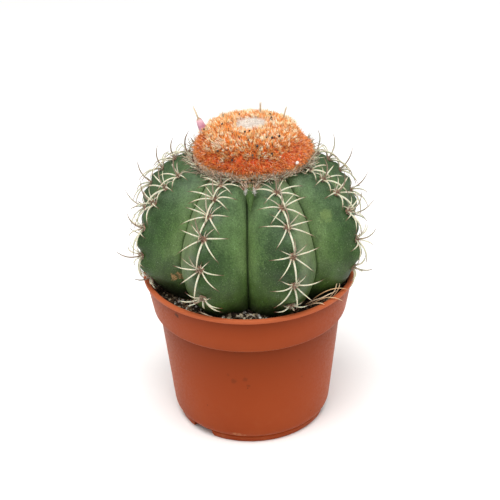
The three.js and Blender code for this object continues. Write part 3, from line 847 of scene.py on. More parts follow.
BRISTLE = Wool(
    "bristle",
    ((0.0, "c86a2c"), (0.18, "ee8632"), (0.36, "ffa246"), (0.56, "fca65c"), (0.75, "f2ba92"),
     (1.0, "fae8d8")),
    "f09c50", 0.62, 0.1,
)
CAP_WOOL = Wool(
    "cap_wool", ((0.0, "d87a34"), (0.3, "e6a45c"), (0.6, "f0d298"), (1.0, "fff2d6")), "c08a48"
)
CAP_CORE = Wool("cap_core", ((0.0, "c8602a"), (0.5, "ee8040"), (1.0, "f0a86c")), "f08a48")
CROWN_WOOL = Wool("crown_wool", ((0.0, "f2e6da"), (1.0, "fffaf4")), "f6ece2")
TAN_WOOL = Wool(
    "tan_wool",
    ((0.0, "c4946a"), (0.3, "e6be96"), (0.55, "f6dcbe"), (0.8, "fcecd8"), (1.0, "fffaf2")), "f0d2b0",
)
DRY_PAPER = Wool("dry_flower", ((0.0, "8a7258"), (0.5, "c4b094"), (1.0, "e8dcc6")), "c0ae94", 0.8, 0.1)


# The pot


@dataclass
class Pot:
    """A thin moulded pot: tapering wall, wider collar, lip, raised floor and notched foot."""

    height: float
    rim_radius: float
    lip: float = 2.2
    lip_reach: float = 1.2
    lip_width: float = 2.3
    collar_foot: float = 60.1
    collar_foot_radius: float = 48.2
    wall_top_radius: float = 45.6
    wall_foot_radius: float = 39.8
    foot_radius: float = 37.5
    foot_ring: float = 2.2
    foot_height: float = 3.6
    wall: float = 1.3
    sides: int = 240
    notch_first: float = -42.0
    notch_span: float = 26.0
    notch_count: int = 3
    notch_height: float = 3.4
    notch_slope: float = 1.6
    drain_radius: float = 3.0
    drain_circle: float = 24.0
    drain_count: int = 6
    drain_sides: int = 24
    step_height: float = 1.2
    dusty_height: float = 9.0
    collar_shadow: float = 3.0
    lip_shadow: float = 1.5
    lit_depth: float = 16.0
    sharp_angle: float = 38.0

    @classmethod
    def from_frame(cls) -> Pot:
        """Takes the height and the width of the pot from its solid."""
        low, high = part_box("pot")
        return cls(height=(high.z - low.z) / MM, rim_radius=(high.x - low.x) / MM / 2)

    def outline(self) -> Array:
        """The half section, from the floor's underside round the lip to its upper side.

        Returns:
            Its points, as radius and height.
        """
        top, lip_foot = self.height, self.height - self.lip
        rim, wall = self.rim_radius, self.wall
        collar_top = rim - self.lip_reach
        floor = self.foot_height + wall
        inner_ring = self.foot_radius - self.foot_ring
        below = self.collar_foot - self.step_height
        return rounded([
            (0.02, self.foot_height, 0),
            (inner_ring, self.foot_height, 0.4),
            (inner_ring, 0, 0.3),
            (self.foot_radius, 0, 0.9),
            (self.foot_radius + 0.65, self.foot_height - 0.5, 0.25),
            (self.foot_radius + 0.3, self.foot_height, 0.2),
            (self.wall_foot_radius + 0.15, self.foot_height + 1.9, 2.6),
            (self.wall_top_radius - 0.1, below, 0.7),
            (self.collar_foot_radius - 0.1, self.collar_foot - 0.5, 1.5),
            (collar_top, lip_foot, 0.25),
            (rim, lip_foot + 0.45, 0.45),
            (rim, top, 0.75),
            (rim - self.lip_width, top, 0.75),
            (rim - self.lip_width - 0.25, lip_foot - 0.2, 0.5),
            (self.collar_foot_radius - wall, self.collar_foot + 0.6, 0.8),
            (self.wall_top_radius - wall, below - 0.3, 0.8),
            (self.wall_foot_radius - wall + 0.1, floor + 0.9, 0.8),
            (self.wall_foot_radius - wall - 1.2, floor, 0.4),
            (0.02, floor, 0),
        ])

    def notch(self, azimuth: float) -> Piece:
        """A block that cuts one drain notch out of the foot ring.

        Args:
            azimuth: Where it stands, in degrees.

        Returns:
            The new object.
        """
        half = radians(self.notch_span / 2)
        inside = self.foot_radius - self.foot_ring - 2
        reach = self.wall_foot_radius + 4
        wide = inside * math.sin(half)
        narrow, top = wide - self.notch_slope, self.notch_height
        section = [(-wide, -1), (wide, -1), (narrow, top), (-narrow, top)]
        turn = radians(azimuth)
        ahead, side = around(turn), beside(turn)
        points = [distance * ahead + x * side + z * UP for distance in (inside, reach) for x, z in section]
        return add_mesh("notch", np.array(points), closed_net(2, 4))

    def drain(self, index: int) -> Piece:
        """A round bar that cuts one drain hole; the first one cuts the middle hole.

        Args:
            index: Which hole; 0 is the middle one.

        Returns:
            The new object.
        """
        profile = np.array([(self.drain_radius, 0.5), (self.drain_radius, self.foot_height + 4)])
        points, faces = turned(profile, self.drain_sides)
        distance = 0.0 if index == 0 else self.drain_circle
        centre = distance * around(radians(360 / self.drain_count * (index - 1)))
        return add_mesh("drain", points + centre, faces)

    def wear(self, spots: Array) -> dict[str, Array]:
        """How far each place on the pot is worn with a painted highlight, dusty, in painted shade and in
        painted light.

        Args:
            spots: Places on the pot, in millimetres.

        Returns:
            Four numbers for each place, by name.
        """
        height, radius = spots[:, 2], np.hypot(spots[:, 0], spots[:, 1])
        # edge: the lip, worn and painted with a highlight, and faintly the collar's lower edge.
        edge = np.clip((height - (self.height - self.lip)) / 0.8, 0, 1)
        step = np.exp(-(((height - self.collar_foot) / 1.2) ** 2)) * (radius > self.wall_top_radius)
        drop = self.collar_foot - 0.8 - height
        under_lip = self.height - self.lip - height
        # Painted shade: just below the collar step and just below the lip.
        below_step = np.exp(-((np.abs(drop) / self.collar_shadow) ** 3))
        painted_shade = np.where(drop > 0, below_step, np.exp(-np.abs(drop) / 0.35))
        below_lip = np.where(under_lip > 0, np.exp(-((np.abs(under_lip) / self.lip_shadow) ** 3)), 0)
        painted_shade = np.maximum(painted_shade, 0.95 * below_lip) * (radius > self.wall_top_radius - 0.6)
        # Painted light: brightest just below the collar step and by the lip, fading away from them.
        lit_wall, lit_collar = np.exp(-drop / self.lit_depth), np.exp(-np.abs(under_lip) / 4)
        return {
            "edge": np.maximum(edge, 0.3 * step),
            "foot": np.clip(1 - height / self.dusty_height, 0, 1) * 0.6,
            "painted_shade": painted_shade,
            "painted_light": np.where(drop > 0, lit_wall, lit_collar),
        }

    def build(self) -> None:
        """Makes the pot."""
        points, faces = turned(self.outline(), self.sides)
        pot = add_mesh("pot_shell", points, faces)
        turns = (self.notch_first + 360 / self.notch_count * i for i in range(self.notch_count))
        cut(pot, [*map(self.notch, turns), *map(self.drain, range(self.drain_count + 1))])
        mesh = pot.data
        places = np.empty(len(mesh.vertices) * 3, np.float32)
        mesh.vertices.foreach_get("co", places)
        keep_on(mesh, self.wear(places.reshape(-1, 3) / MM))
        mesh.polygons.foreach_set("use_smooth", np.ones(len(mesh.polygons), bool))
        mesh.set_sharp_from_angle(angle=radians(self.sharp_angle))
        place(pot, "pot", PotPlastic().make())


# The stem


class RibRow(Enum):
    """Heights of a rib's areoles as degrees above the stem's middle, on alternate ribs."""

    LOW = (-20.0, -2.7, 16.2, 33.7, 45.5, 55.5)
    HIGH = (-12.7, 7.9, 27.0, 40.6, 51.6, 60.8)


class SpineKind(Enum):
    """The spines round an areole: turn from straight down, lift, length, width and shade."""

    DOWN = (0.0, 24.0, 15.5, 0.92, 0.0)
    LOW_RIGHT = (50.0, 30.0, 14.0, 0.74, 0.05)
    LOW_LEFT = (-50.0, 30.0, 14.0, 0.74, 0.05)
    RIGHT = (94.0, 30.0, 13.5, 0.7, 0.1)
    LEFT = (-94.0, 30.0, 13.5, 0.7, 0.1)
    HIGH_RIGHT = (130.0, 34.0, 9.5, 0.55, 0.4)
    OUTWARD = (190.0, 62.0, 13.2, 0.74, 0.8)
    HIGH_LEFT = (-124.0, 34.0, 10.5, 0.55, 0.4)
    TOP = (166.0, 40.0, 5.5, 0.45, 0.5)
    CENTRE_RIGHT = (70.0, 72.0, 4.0, 0.4, 0.9)
    CENTRE_LEFT = (-60.0, 76.0, 3.4, 0.4, 1.0)


@dataclass
class Areole:
    """A woolly pad on a rib's crest: its place, and directions out, up and across."""

    rib: int
    index: int
    angle: float
    spot: Array
    out: Array
    up: Array
    side: Array


@dataclass
class Stem:
    """The ribbed body with its areoles, spines and young rib."""

    rim_radius: float
    rim_top: float
    cap_centre: Pair
    centre: Pair = (0.9, 1.0)
    radius: float = 55.2
    middle: float = 99.2
    half_height: float = 42.7
    shoulder_power: float = 0.81
    base_power: float = 1.15
    rib_azimuths: tuple[float, ...] = (20.4, 65.4, 111.0, 159.0, 204.0, 251.0, 290.4, 335.4)
    rib_depth: float = 0.215
    depth_gain: float = 0.0022
    hump: float = 2.5
    unevenness: tuple[Point, ...] = ((0.28, 9, 5), (0.12, 3.2, 6))
    low: float = -36.5
    high: float = 63.5
    columns: int = 36
    rows: int = 150
    neck_rings: tuple[Point, ...] = ((50.0, 0.26, 0.0), (66.0, 0.5, 0.0))
    foot_rings: tuple[Pair, ...] = ((0.58, 0.2), (0.8, 0.6), (0.93, 0.85))
    top_rings: tuple[Point, ...] = (
        (24.0, 138.2, 0.5), (20.0, 138.6, 0.2), (17.5, 139.4, 0.0), (17.5, 140.6, 0.0),
    )
    underside: float = 73.85
    soil_top: float = 73.1
    crowded: float = 50.0
    over_cap_edge: float = 0.8
    over_skirt: float = 0.5
    over_soil: float = 1.2
    rim_width: float = 3.2
    past_rim: float = 0.8
    over_rim: float = 0.6
    over_front_rim: float = 2.5
    arch: float = 19.0
    extra_tilts: tuple[int, ...] = (0, -8, -16, *range(6, 61, 6))
    root_depth: float = 0.9
    bend_share: float = 0.57
    side_lift: float = 80.0
    side_azimuths: Pair = (45.0, 135.0)
    pad_radius: float = 1.7
    pad_height: float = 0.9
    hairs_per_pad: int = 110
    cap_radius: float = 28.1
    skirt_bottom: float = 138.2
    spine_sizes: tuple[float, ...] = (1.0, 0.86, 0.74, 0.62)
    first_seed: int = 1000
    rib_seeds: int = 700
    areole_seeds: int = 90
    turn_stray: float = 8.0
    lift_stray: float = 6.0
    length_stray: float = 0.1
    shade_stray: float = 0.28
    pad_sides: int = 14
    pad_rows: int = 6
    pad_hair_lengths: Pair = (0.6, 1.5)
    pad_hair_radius: float = 0.11
    young_shift: float = 1.5
    young_foot: Pair = (38.4, 127.6)
    young_head: Pair = (30.4, 138.2)
    young_width: float = 2.9
    young_depth: float = 3.0
    young_rows: int = 18
    young_sides: int = 20
    young_spine_count: int = 90
    young_spine_root: Pair = (31.8, 135.6)
    young_spine_lengths: Pair = (2.4, 6.8)
    young_spine_radii: Pair = (0.08, 0.17)
    young_hair_count: int = 900
    young_hair_root: Pair = (33.0, 135.4)
    young_hair_lengths: Pair = (0.7, 1.6)
    young_hair_radius: float = 0.07

    def crest(self, angle: Array | float) -> tuple[Array, Array]:
        """Radius and height of the crest line at angles in degrees above the middle."""
        turn = np.radians(angle)
        power = np.where(np.asarray(angle) < 0, self.base_power, self.shoulder_power)
        return self.radius * np.cos(turn) ** power, self.middle + self.half_height * np.sin(turn)

    @staticmethod
    def flank_drop(across: Array) -> Array:
        """How far the skin lies below the crest, from 0 on the crest to 1 in the groove."""
        eased = np.sqrt(across**2 + 0.006) - math.sqrt(0.006)
        return 0.86 * eased**1.12 + 0.14 * across**8

    @staticmethod
    def marks(rib: int) -> tuple[float, ...]:
        """The heights of a rib's areoles."""
        return (RibRow.LOW if rib % 2 == 0 else RibRow.HIGH).value

    def swell(self, rib: int, angle: Array) -> Array:
        """How far the crest stands proud between two areoles.

        Args:
            rib: Which rib.
            angle: Degrees above the stem's middle.

        Returns:
            The heights, in millimetres.
        """
        marks = np.array(self.marks(rib))
        after = np.clip(np.searchsorted(marks, angle, side="right"), 1, len(marks) - 1)
        gap = marks[after] - marks[after - 1]
        share = np.clip((angle - marks[after - 1]) / gap, 0, 1)
        return self.hump * np.minimum(1, gap / 14) * np.sin(pi * share) ** 2

    def skin_radius(
        self, rib: int, across: Array, angle: Array, ribbing: float = 1.0
    ) -> Array:
        """Distance of the skin from the stem's axis.

        Args:
            rib: Which rib.
            across: -1 and 1 are the rib's two grooves and 0 is its crest.
            angle: Degrees above the stem's middle.
            ribbing: How deep the ribs are, from 0 to 1.

        Returns:
            The distances, in millimetres.
        """
        depth = self.rib_depth + np.where(angle < 0, 0, self.depth_gain * angle)
        slit = 0.018 * np.exp(-(((1 - np.abs(across)) / 0.02) ** 2))
        drop = depth * ribbing * self.flank_drop(np.abs(across)) + slit * ribbing
        bump = self.swell(rib, angle) * np.exp(-((across / 0.3) ** 2)) * ribbing
        return self.crest(angle)[0] * (1 - drop) + bump

    def azimuth(self, rib: int, across: Array) -> Array:
        """Azimuths in radians of places across a rib.

        Args:
            rib: Which rib.
            across: From -1 to 1 across it.

        Returns:
            The azimuths.
        """
        here = self.rib_azimuths[rib]
        count = len(self.rib_azimuths)
        after = self.rib_azimuths[rib + 1] if rib + 1 < count else self.rib_azimuths[0] + 360
        before = self.rib_azimuths[rib - 1] - (360 if rib == 0 else 0)
        span = np.where(across < 0, here - before, after - here)
        return np.radians(here + across * span / 2)

    def offset(self, points: Array) -> Array:
        """Moves points from the stem's own axis to its place in the pot."""
        return points + np.array([*self.centre, 0.0])

    def rings(self) -> list[Four]:
        """Angle, height, share of the radius and ribbing of every ring of the body.

        Returns:
            The rings, from the neck up.
        """
        shoulder = float(self.crest(self.high)[0])
        rings = [(self.low, z, share, ribbing) for z, share, ribbing in self.neck_rings]
        rings += [(self.low, self.underside, share, ribbing) for share, ribbing in self.foot_rings]
        angles = np.linspace(self.low, self.high, self.rows)
        rings += [(angle, float(self.crest(angle)[1]), 1.0, 1.0) for angle in angles]
        return rings + [(self.high, z, radius / shoulder, ribbing) for radius, z, ribbing in self.top_rings]

    def body(self) -> Piece:
        """The green body as one closed net of points.

        Returns:
            The new object.
        """
        step = np.linspace(-1, 1, self.columns, endpoint=False)
        across = np.sign(step) * 0.5 * (1 - np.cos(pi * np.abs(step)))
        rings = self.rings()
        count = len(self.rib_azimuths) * self.columns
        grid = np.zeros((len(rings), count, 3))
        crosswise, outer = np.zeros(grid.shape[:2]), np.zeros(grid.shape[:2])
        for row, (angle, z, scale, ribbing) in enumerate(rings):
            for rib in range(len(self.rib_azimuths)):
                columns = slice(rib * self.columns, (rib + 1) * self.columns)
                radius = self.skin_radius(rib, across, np.full_like(across, angle), ribbing) * scale
                spots = radius[:, None] * around(self.azimuth(rib, across))
                spots[:, 2] = z if row < len(self.neck_rings) else max(z, self.underside)
                grid[row, columns] = spots
                crosswise[row, columns] = np.abs(across)
                # outer: the flank turned away from the front, where the skin paints a pale sheen.
                outer[row, columns] = across * np.sign(math.sin(radians(self.rib_azimuths[rib])))
        heights = np.array([z for _, z, _, _ in rings])
        flat = grid.reshape(-1, 3)
        in_open = np.repeat(heights > self.underside, count)[:, None]
        flat = flat + in_open * unit(flat * LEVEL) * layered(flat, self.unevenness)[:, None]
        rise = (heights - self.soil_top) / (self.skirt_bottom - self.soil_top)
        facts = {"across": crosswise.ravel(), "rise": np.repeat(rise, count), "outer": outer.ravel()}
        return add_mesh("stem_body", self.offset(flat), closed_net(len(rings), count), facts)

    @cached_property
    def areoles(self) -> list[Areole]:
        """Every areole's place, about the stem's own axis.

        Returns:
            The areoles, rib by rib.
        """
        found = []
        for rib, azimuth in enumerate(self.rib_azimuths):
            ahead, side = around(radians(azimuth)), beside(radians(azimuth))
            for index, angle in enumerate(self.marks(rib)):
                radius, z = self.crest(angle)
                radius_on, z_on = self.crest(angle + 0.5)
                up = unit(ahead * (radius_on - radius) + (z_on - z) * UP)
                spot = ahead * radius + z * UP
                found.append(Areole(rib, index, angle, spot, unit(np.cross(side, up)), up, side))
        return found

    def is_clear(self, line: Array, faces_front: bool) -> bool:
        """Whether a spine's line stays off the soil, the pot's lip and the cap.

        Args:
            line: Places along the spine, about the stem's own axis.
            faces_front: Such a spine may not hang over the lip either.

        Returns:
            True where the spine may stay.
        """
        placed = self.offset(line)
        from_pot = np.hypot(placed[:, 0], placed[:, 1])
        from_cap = np.hypot(placed[:, 0] - self.cap_centre[0], placed[:, 1] - self.cap_centre[1])
        z = placed[:, 2]
        in_rim = from_pot > self.rim_radius - self.rim_width
        on_rim = in_rim & (from_pot < self.rim_radius + self.past_rim)
        meets_rim = on_rim & (z < self.rim_top + self.over_rim)
        if faces_front:
            meets_rim = in_rim & (z < self.rim_top + self.over_front_rim)
        meets_soil = ~in_rim & (z < self.soil_top + self.over_soil)
        by_cap = from_cap < self.cap_radius + self.over_cap_edge
        meets_cap = by_cap & (z > self.skirt_bottom + self.over_skirt)
        return not (meets_rim | meets_soil | meets_cap).any()

    def spine_line(self, areole: Areole, turn: float, lift: float, length: float) -> Array | None:
        """Root, bend and tip of a recurved spine, tilted or shortened until it stays clear.

        Args:
            areole: Where it grows.
            turn: Degrees from straight down.
            lift: Degrees off the skin.
            length: Its length, in millimetres.

        Returns:
            The three places, or None where no spine fits.
        """
        way = -math.cos(radians(turn)) * areole.up + math.sin(radians(turn)) * areole.side
        share = np.linspace(0, 1, 11)[:, None]
        root = areole.spot - self.root_depth * areole.out
        for extra in self.extra_tilts:
            rise = radians(lift + extra + self.arch)
            fall = radians(lift + extra - self.arch)
            for size in (kept * length for kept in self.spine_sizes):
                over = math.cos(rise) * way + math.sin(rise) * areole.out
                bend = areole.spot + self.bend_share * size * over
                tip = areole.spot + size * (math.cos(fall) * way + math.sin(fall) * areole.out)
                line = arc(root, bend, tip, share)
                if self.is_clear(line, areole.out[1] < -0.6):
                    return np.stack([root, bend, tip])
        return None

    def spines(self) -> Piece:
        """All spines in one mesh.

        Returns:
            The new object.
        """
        lines, widths, shades = [], [], []
        for areole in self.areoles:
            angle = areole.angle
            room = min(1, 0.84 + max(0, 62 - angle) / 100, 1 + min(0, angle + 8) / 45)
            seed = self.first_seed + self.rib_seeds * areole.rib + self.areole_seeds * areole.index
            from_front = min(self.rib_azimuths[areole.rib], 360 - self.rib_azimuths[areole.rib])
            at_side = self.side_azimuths[0] < from_front < self.side_azimuths[1]
            for i, kind in enumerate(SpineKind):
                turn, lift, length, width, shade = kind.value
                if at_side and kind is SpineKind.OUTWARD:
                    lift = self.side_lift
                line = self.spine_line(
                    areole,
                    turn + spread(seed + i, self.turn_stray),
                    lift + spread(seed + i + 20, self.lift_stray),
                    length * room * (1 + spread(seed + i + 40, self.length_stray)),
                )
                if line is None:
                    continue
                lines.append(self.offset(line))
                widths.append(width * (0.92 + 0.16 * chance(seed + i + 60)))
                shades.append(min(1.0, max(0.0, shade + spread(seed + i + 70, self.shade_stray))))
        ends = np.array(lines)
        return strands(
            "stem_spines", ends[:, 0], ends[:, 1], ends[:, 2], np.array(widths) / 2, np.array(shades),
            sides=7, steps=9, thin_from=3.4,
        )

    def pads(self) -> Piece:
        """The low domes of packed wool that the spines grow from.

        Returns:
            The new object.
        """
        sides, rows = self.pad_sides, self.pad_rows
        tilt = np.linspace(0, pi, rows + 2)[1:-1]
        turn = np.arange(sides) * 2 * pi / sides
        points, shades = [], []
        for number, areole in enumerate(self.areoles):
            size = self.pad_radius * (0.8 if areole.angle > self.crowded else 1.0)
            ring = np.cos(turn)[None, :, None] * areole.side + np.sin(turn)[None, :, None] * areole.up
            net = areole.spot + size * np.sin(tilt)[:, None, None] * ring
            net = net - self.pad_height * np.cos(tilt)[:, None, None] * areole.out
            net = net.reshape(-1, 3)
            net = net + 0.12 * lumps(net, 0.7, number)[:, None] * areole.out
            points.append(self.offset(net))
            shades.append(np.full(len(net), 0.35 + 0.3 * chance(number + 0.5)))
        starts = [i * rows * sides for i in range(len(self.areoles))]
        faces = [np.vstack([block + start for start in starts]) for block in closed_net(rows, sides)]
        return add_felt("areole_pads", np.vstack(points), faces, np.concatenate(shades), 0.4)

    def pad_wool(self) -> Piece:
        """Short wool on every pad: red-brown in the middle, pinkish tan round it.

        Returns:
            The new object.
        """
        rng = np.random.default_rng(Draw.PAD_WOOL)
        count = self.hairs_per_pad
        roots, bends, tips, shades = [], [], [], []
        for areole in self.areoles:
            reach = np.sqrt(rng.uniform(0, 1, count)) * self.pad_radius
            turn = rng.uniform(0, 2 * pi, count)
            flat = np.cos(turn)[:, None] * areole.side + np.sin(turn)[:, None] * areole.up
            dome = self.pad_height * np.sqrt(np.clip(1 - (reach / self.pad_radius) ** 2, 0, 1))
            root = areole.spot + reach[:, None] * flat + (dome - 0.3)[:, None] * areole.out
            aim = unit(0.9 * flat * (reach / self.pad_radius)[:, None] + areole.out
                       + rng.normal(0, 0.35, (count, 3)))
            length = rng.uniform(*self.pad_hair_lengths, count)[:, None]
            roots.append(self.offset(root))
            bends.append(self.offset(root + 0.5 * length * aim + rng.normal(0, 0.2, (count, 3))))
            tips.append(self.offset(root + length * aim))
            shades.append(np.clip(0.15 + 0.6 * reach / self.pad_radius + rng.normal(0, 0.15, count), 0, 1))
        shade = np.concatenate(shades)
        radius = np.full(len(shade), self.pad_hair_radius)
        return strands(
            "areole_wool", np.vstack(roots), np.vstack(bends), np.vstack(tips), radius, shade, steps=2
        )

    def front_groove(self) -> tuple[Array, Array]:
        """The directions out of the front groove and across it."""
        turn = radians((self.rib_azimuths[0] + self.rib_azimuths[-1] - 360) / 2)
        return around(turn), beside(turn)

    def young_rib(self) -> Piece:
        """The small wedge that grows in the top of the front groove.

        Returns:
            The new object.
        """
        ahead, side = self.front_groove()
        rows, sides = self.young_rows, self.young_sides
        share = np.linspace(0.02, 0.98, rows)[:, None, None]
        width = self.young_width * share**0.75 * (1 - share**8) ** 0.5
        depth = self.young_depth * share**0.8 * (1 - share**6) ** 0.5
        foot, head = (radius * ahead + z * UP for radius, z in (self.young_foot, self.young_head))
        spin = np.arange(sides) * 2 * pi / sides
        pointed = np.sign(np.cos(spin)) * np.abs(np.cos(spin)) ** 1.3
        net = foot + (head - foot) * share + width * np.sin(spin)[:, None] * side
        net = net + depth * pointed[:, None] * unit(ahead * 0.8 + 0.6 * UP)
        facts = {"across": np.tile(0.45 + 0.3 * np.abs(np.sin(spin)), rows),
                 "rise": np.full(rows * sides, 0.3), "outer": np.zeros(rows * sides)}
        points = self.offset(net.reshape(-1, 3) + self.young_shift * side)
        return add_mesh("young_rib", points, closed_net(rows, sides), facts)

    def young_spines(self) -> Piece:
        """The reddish spines that stand on the young rib.

        Returns:
            The new object.
        """
        ahead, side = self.front_groove()
        rng = np.random.default_rng(Draw.YOUNG_SPINES)
        count = self.young_spine_count
        lateral = np.linspace(-3.0, 3.0, count)[:, None]
        radius, z = self.young_spine_root
        root = self.offset(ahead * radius + z * UP + (lateral + self.young_shift) * side)
        aim = unit(0.24 * lateral * side + 0.35 * ahead + UP + rng.normal(0, 0.17, (count, 3)))
        length = rng.uniform(*self.young_spine_lengths, count)[:, None]
        bend = root + 0.5 * length * aim + 0.5 * ahead
        shade = rng.uniform(0, 1, count)
        radii = rng.uniform(*self.young_spine_radii, count)
        return strands("young_rib_spines", root, bend, root + length * aim, radii, shade,
                       sides=6, steps=6, thin_from=2.0)

    def young_wool(self) -> Piece:
        """Two white tufts at the young rib's head.

        Returns:
            The new object.
        """
        ahead, side = self.front_groove()
        rng = np.random.default_rng(Draw.YOUNG_WOOL)
        count = self.young_hair_count
        lateral = np.where(np.arange(count) % 2 == 0, -1.3, 1.4)[:, None]
        radius, z = self.young_hair_root
        base = self.offset(ahead * radius + z * UP + (lateral + self.young_shift) * side)
        root = base + rng.normal(0, 0.42, (count, 3)) * [1, 1, 1.6]
        aim = unit(rng.normal(0, 1, (count, 3)) + 0.8 * ahead + 0.4 * UP)
        tip = root + rng.uniform(*self.young_hair_lengths, count)[:, None] * aim
        bend = halfway(rng, root, tip, 0.3)
        radius = np.full(count, self.young_hair_radius)
        return strands("young_rib_wool", root, bend, tip, radius, rng.uniform(0, 1, count),
                       steps=3, wave=0.1, seed=Draw.YOUNG_WOOL)

    def build(self) -> None:
        """Makes the body and all that grows on it."""
        skin, horn, wool = StemSkin().make(), Horn().make(), AREOLE_WOOL.make()
        white, young = YOUNG_WOOL.make(), YOUNG_SPINE.make()
        for piece, finish in (
            (self.body(), skin), (self.young_rib(), skin), (self.spines(), horn), (self.pads(), wool),
            (self.pad_wool(), wool), (self.young_spines(), young), (self.young_wool(), white),
        ):
            place(piece, "stem", finish)


# The soil


@dataclass
class Soil:
    """The peat in the pot, with its crumbs, grit, bark and fibres."""

    stem: Stem
    top: float = 73.1
    outer: float = 48.9
    mound: tuple[float, float, float, float, float] = (-8.0, 43.0, 3.1, 17.0, 3.6)
    unevenness: tuple[Point, ...] = ((0.38, 5, 11), (0.22, 1.8, 12))
    crumb_count: int = 3200
    crumb_sizes: Pair = (0.28, 0.85)
    chunk_count: int = 260
    chunk_sizes: Pair = (0.7, 2.1)
    chunk_shape: Point = (1.0, 0.5, 0.32)
    grit_count: int = 560
    grit_sizes: Pair = (0.3, 0.95)
    pale_share: float = 0.46
    fibre_count: int = 170
    fibre_lengths: Pair = (2.0, 5.5)
    fibre_radii: Pair = (0.07, 0.16)
    long_fibre_radius: float = 0.26
    plug_rings: int = 44
    plug_sides: int = 220
    plug_wall: tuple[Pair, ...] = (
        (0.05, 5.3), (36.8, 5.3), (38.1, 6.4), (43.8, 58.4), (46.4, 60.9), (48.8, 72.3),
    )
    well_radius: float = 26.0
    half_rib: float = 23.0
    stem_foot_angle: float = -35.0
    stem_gap: float = 2.5
    grit_azimuths: tuple[float, ...] = (-8.0, -52.0, 6.0)
    rim_fibres: tuple[tuple[Point, Point, Point], ...] = (
        ((29.5, -32.0, 78.0), (38.0, -31.0, 86.5), (48.5, -24.5, 78.6)),
        ((28.5, -35.0, 77.5), (37.5, -36.0, 84.5), (44.5, -32.6, 77.2)),
        ((38.0, -29.5, 76.0), (45.0, -27.0, 83.0), (42.0, -20.2, 82.4)),
        ((36.5, -30.5, 76.5), (43.5, -27.5, 83.5), (41.2, -20.6, 83.4)),
        ((27.0, -35.5, 77.0), (31.5, -40.0, 82.5), (35.0, -39.6, 79.9)),
        ((26.0, -34.0, 76.8), (35.0, -34.5, 81.5), (41.6, -28.6, 80.9)),
        ((-24.0, -38.0, 76.5), (-23.0, -45.0, 80.5), (-17.0, -44.5, 77.2)),
        ((-30.0, -35.0, 76.0), (-31.0, -41.5, 80.5), (-24.5, -42.6, 77.4)),
    )

    def height_at(self, points: Array) -> Array:
        """How high the soil's surface lies at places in the pot.

        Args:
            points: Places, in millimetres.

        Returns:
            One height per place.
        """
        relief = layered(points * LEVEL, self.unevenness)
        turn = np.degrees(np.arctan2(points[:, 0], -points[:, 1]))
        radius = np.hypot(points[:, 0], points[:, 1])
        azimuth, middle, height, wide, deep = self.mound
        heap = height * np.exp(-(((turn - azimuth) / wide) ** 2) - ((radius - middle) / deep) ** 2)
        return self.top - 0.25 + np.clip(relief, -0.9, 0.9) + heap

    def plug(self) -> Piece:
        """The closed body of peat that fills the pot.

        Returns:
            The new object.
        """
        top = [(radius, self.top) for radius in np.linspace(self.outer, 0.05, self.plug_rings)]
        points, faces = turned(np.array([*self.plug_wall, *top]), self.plug_sides)
        is_top = np.arange(len(points)) >= len(self.plug_wall) * self.plug_sides
        points[is_top, 2] = self.height_at(points[is_top])
        middle_x, middle_y = self.stem.centre
        under = np.hypot(points[:, 0] - middle_x, points[:, 1] - middle_y) < self.well_radius
        points[is_top & under, 2] -= 1.0
        shade = np.clip(0.25 + 0.2 * lumps(points, 2.5, 15), 0, 0.55)
        return add_mesh("soil_bed", points, faces, {"shade": shade})

    def scatter(self, count: int, seed: int, keep_front: bool = False) -> Array:
        """Random places on the open soil between the stem and the pot's wall.

        Args:
            count: How many places.
            seed: Chooses them.
            keep_front: Whether they crowd at the front and the left, as the grit does.

        Returns:
            Their places, on the soil's surface.
        """
        rng = np.random.default_rng(seed)
        places: list[Array] = []
        while len(places) < count:
            radius = self.outer * math.sqrt(rng.uniform(0.3, 0.985))
            turn = rng.uniform(-pi, pi)
            if keep_front and rng.uniform() < 0.75:
                turn = radians(rng.choice(self.grit_azimuths) + rng.normal(0, 8))
            spot = radius * around(turn)
            local = spot - np.array([*self.stem.centre, 0])
            if np.hypot(local[0], local[1]) < self.stem_edge(local):
                continue
            places.append(spot)
        found = np.array(places)
        found[:, 2] = self.height_at(found)
        return found

    def stem_edge(self, local: Array) -> float:
        """How far the stem reaches over the soil in the direction of a place.

        Args:
            local: A place, about the stem's own axis.

        Returns:
            The distance from that axis.
        """
        degrees = math.degrees(math.atan2(local[0], -local[1])) % 360
        azimuths = self.stem.rib_azimuths
        rib = min(range(len(azimuths)), key=lambda i: abs((degrees - azimuths[i] + 180) % 360 - 180))
        across = np.clip(((degrees - azimuths[rib] + 180) % 360 - 180) / self.half_rib, -1, 1)
        return float(self.stem.skin_radius(rib, across, np.array(self.stem_foot_angle))) - self.stem_gap

    def crumbs(self) -> Piece:
        """Loose peat crumbs with some bark.

        Returns:
            The new object.
        """
        rng = np.random.default_rng(Draw.CRUMBS)
        count = self.crumb_count
        centre = self.scatter(count, 40)
        size = rng.uniform(*self.crumb_sizes, count) ** 1.3
        centre[:, 2] += size * rng.uniform(-0.1, 0.6, count)
        radii = size[:, None] * rng.uniform(0.6, 1.2, (count, 3))
        shade = np.clip(rng.beta(1.6, 2.6, count), 0, 0.78)
        return grains("soil_crumbs", centre, radii, shade, 0.28, 42)

    def chunks(self) -> Piece:
        """Larger flat pieces of bark and husk.

        Returns:
            The new object.
        """
        rng = np.random.default_rng(Draw.CHUNKS)
        count = self.chunk_count
        centre = self.scatter(count, 52)
        size = rng.uniform(*self.chunk_sizes, count)
        centre[:, 2] += size * rng.uniform(0.05, 0.45, count)
        radii = size[:, None] * self.chunk_shape * rng.uniform(0.7, 1.2, (count, 3))
        return grains("soil_chunks", centre, radii, rng.uniform(0.35, 0.8, count), 0.3, 53)

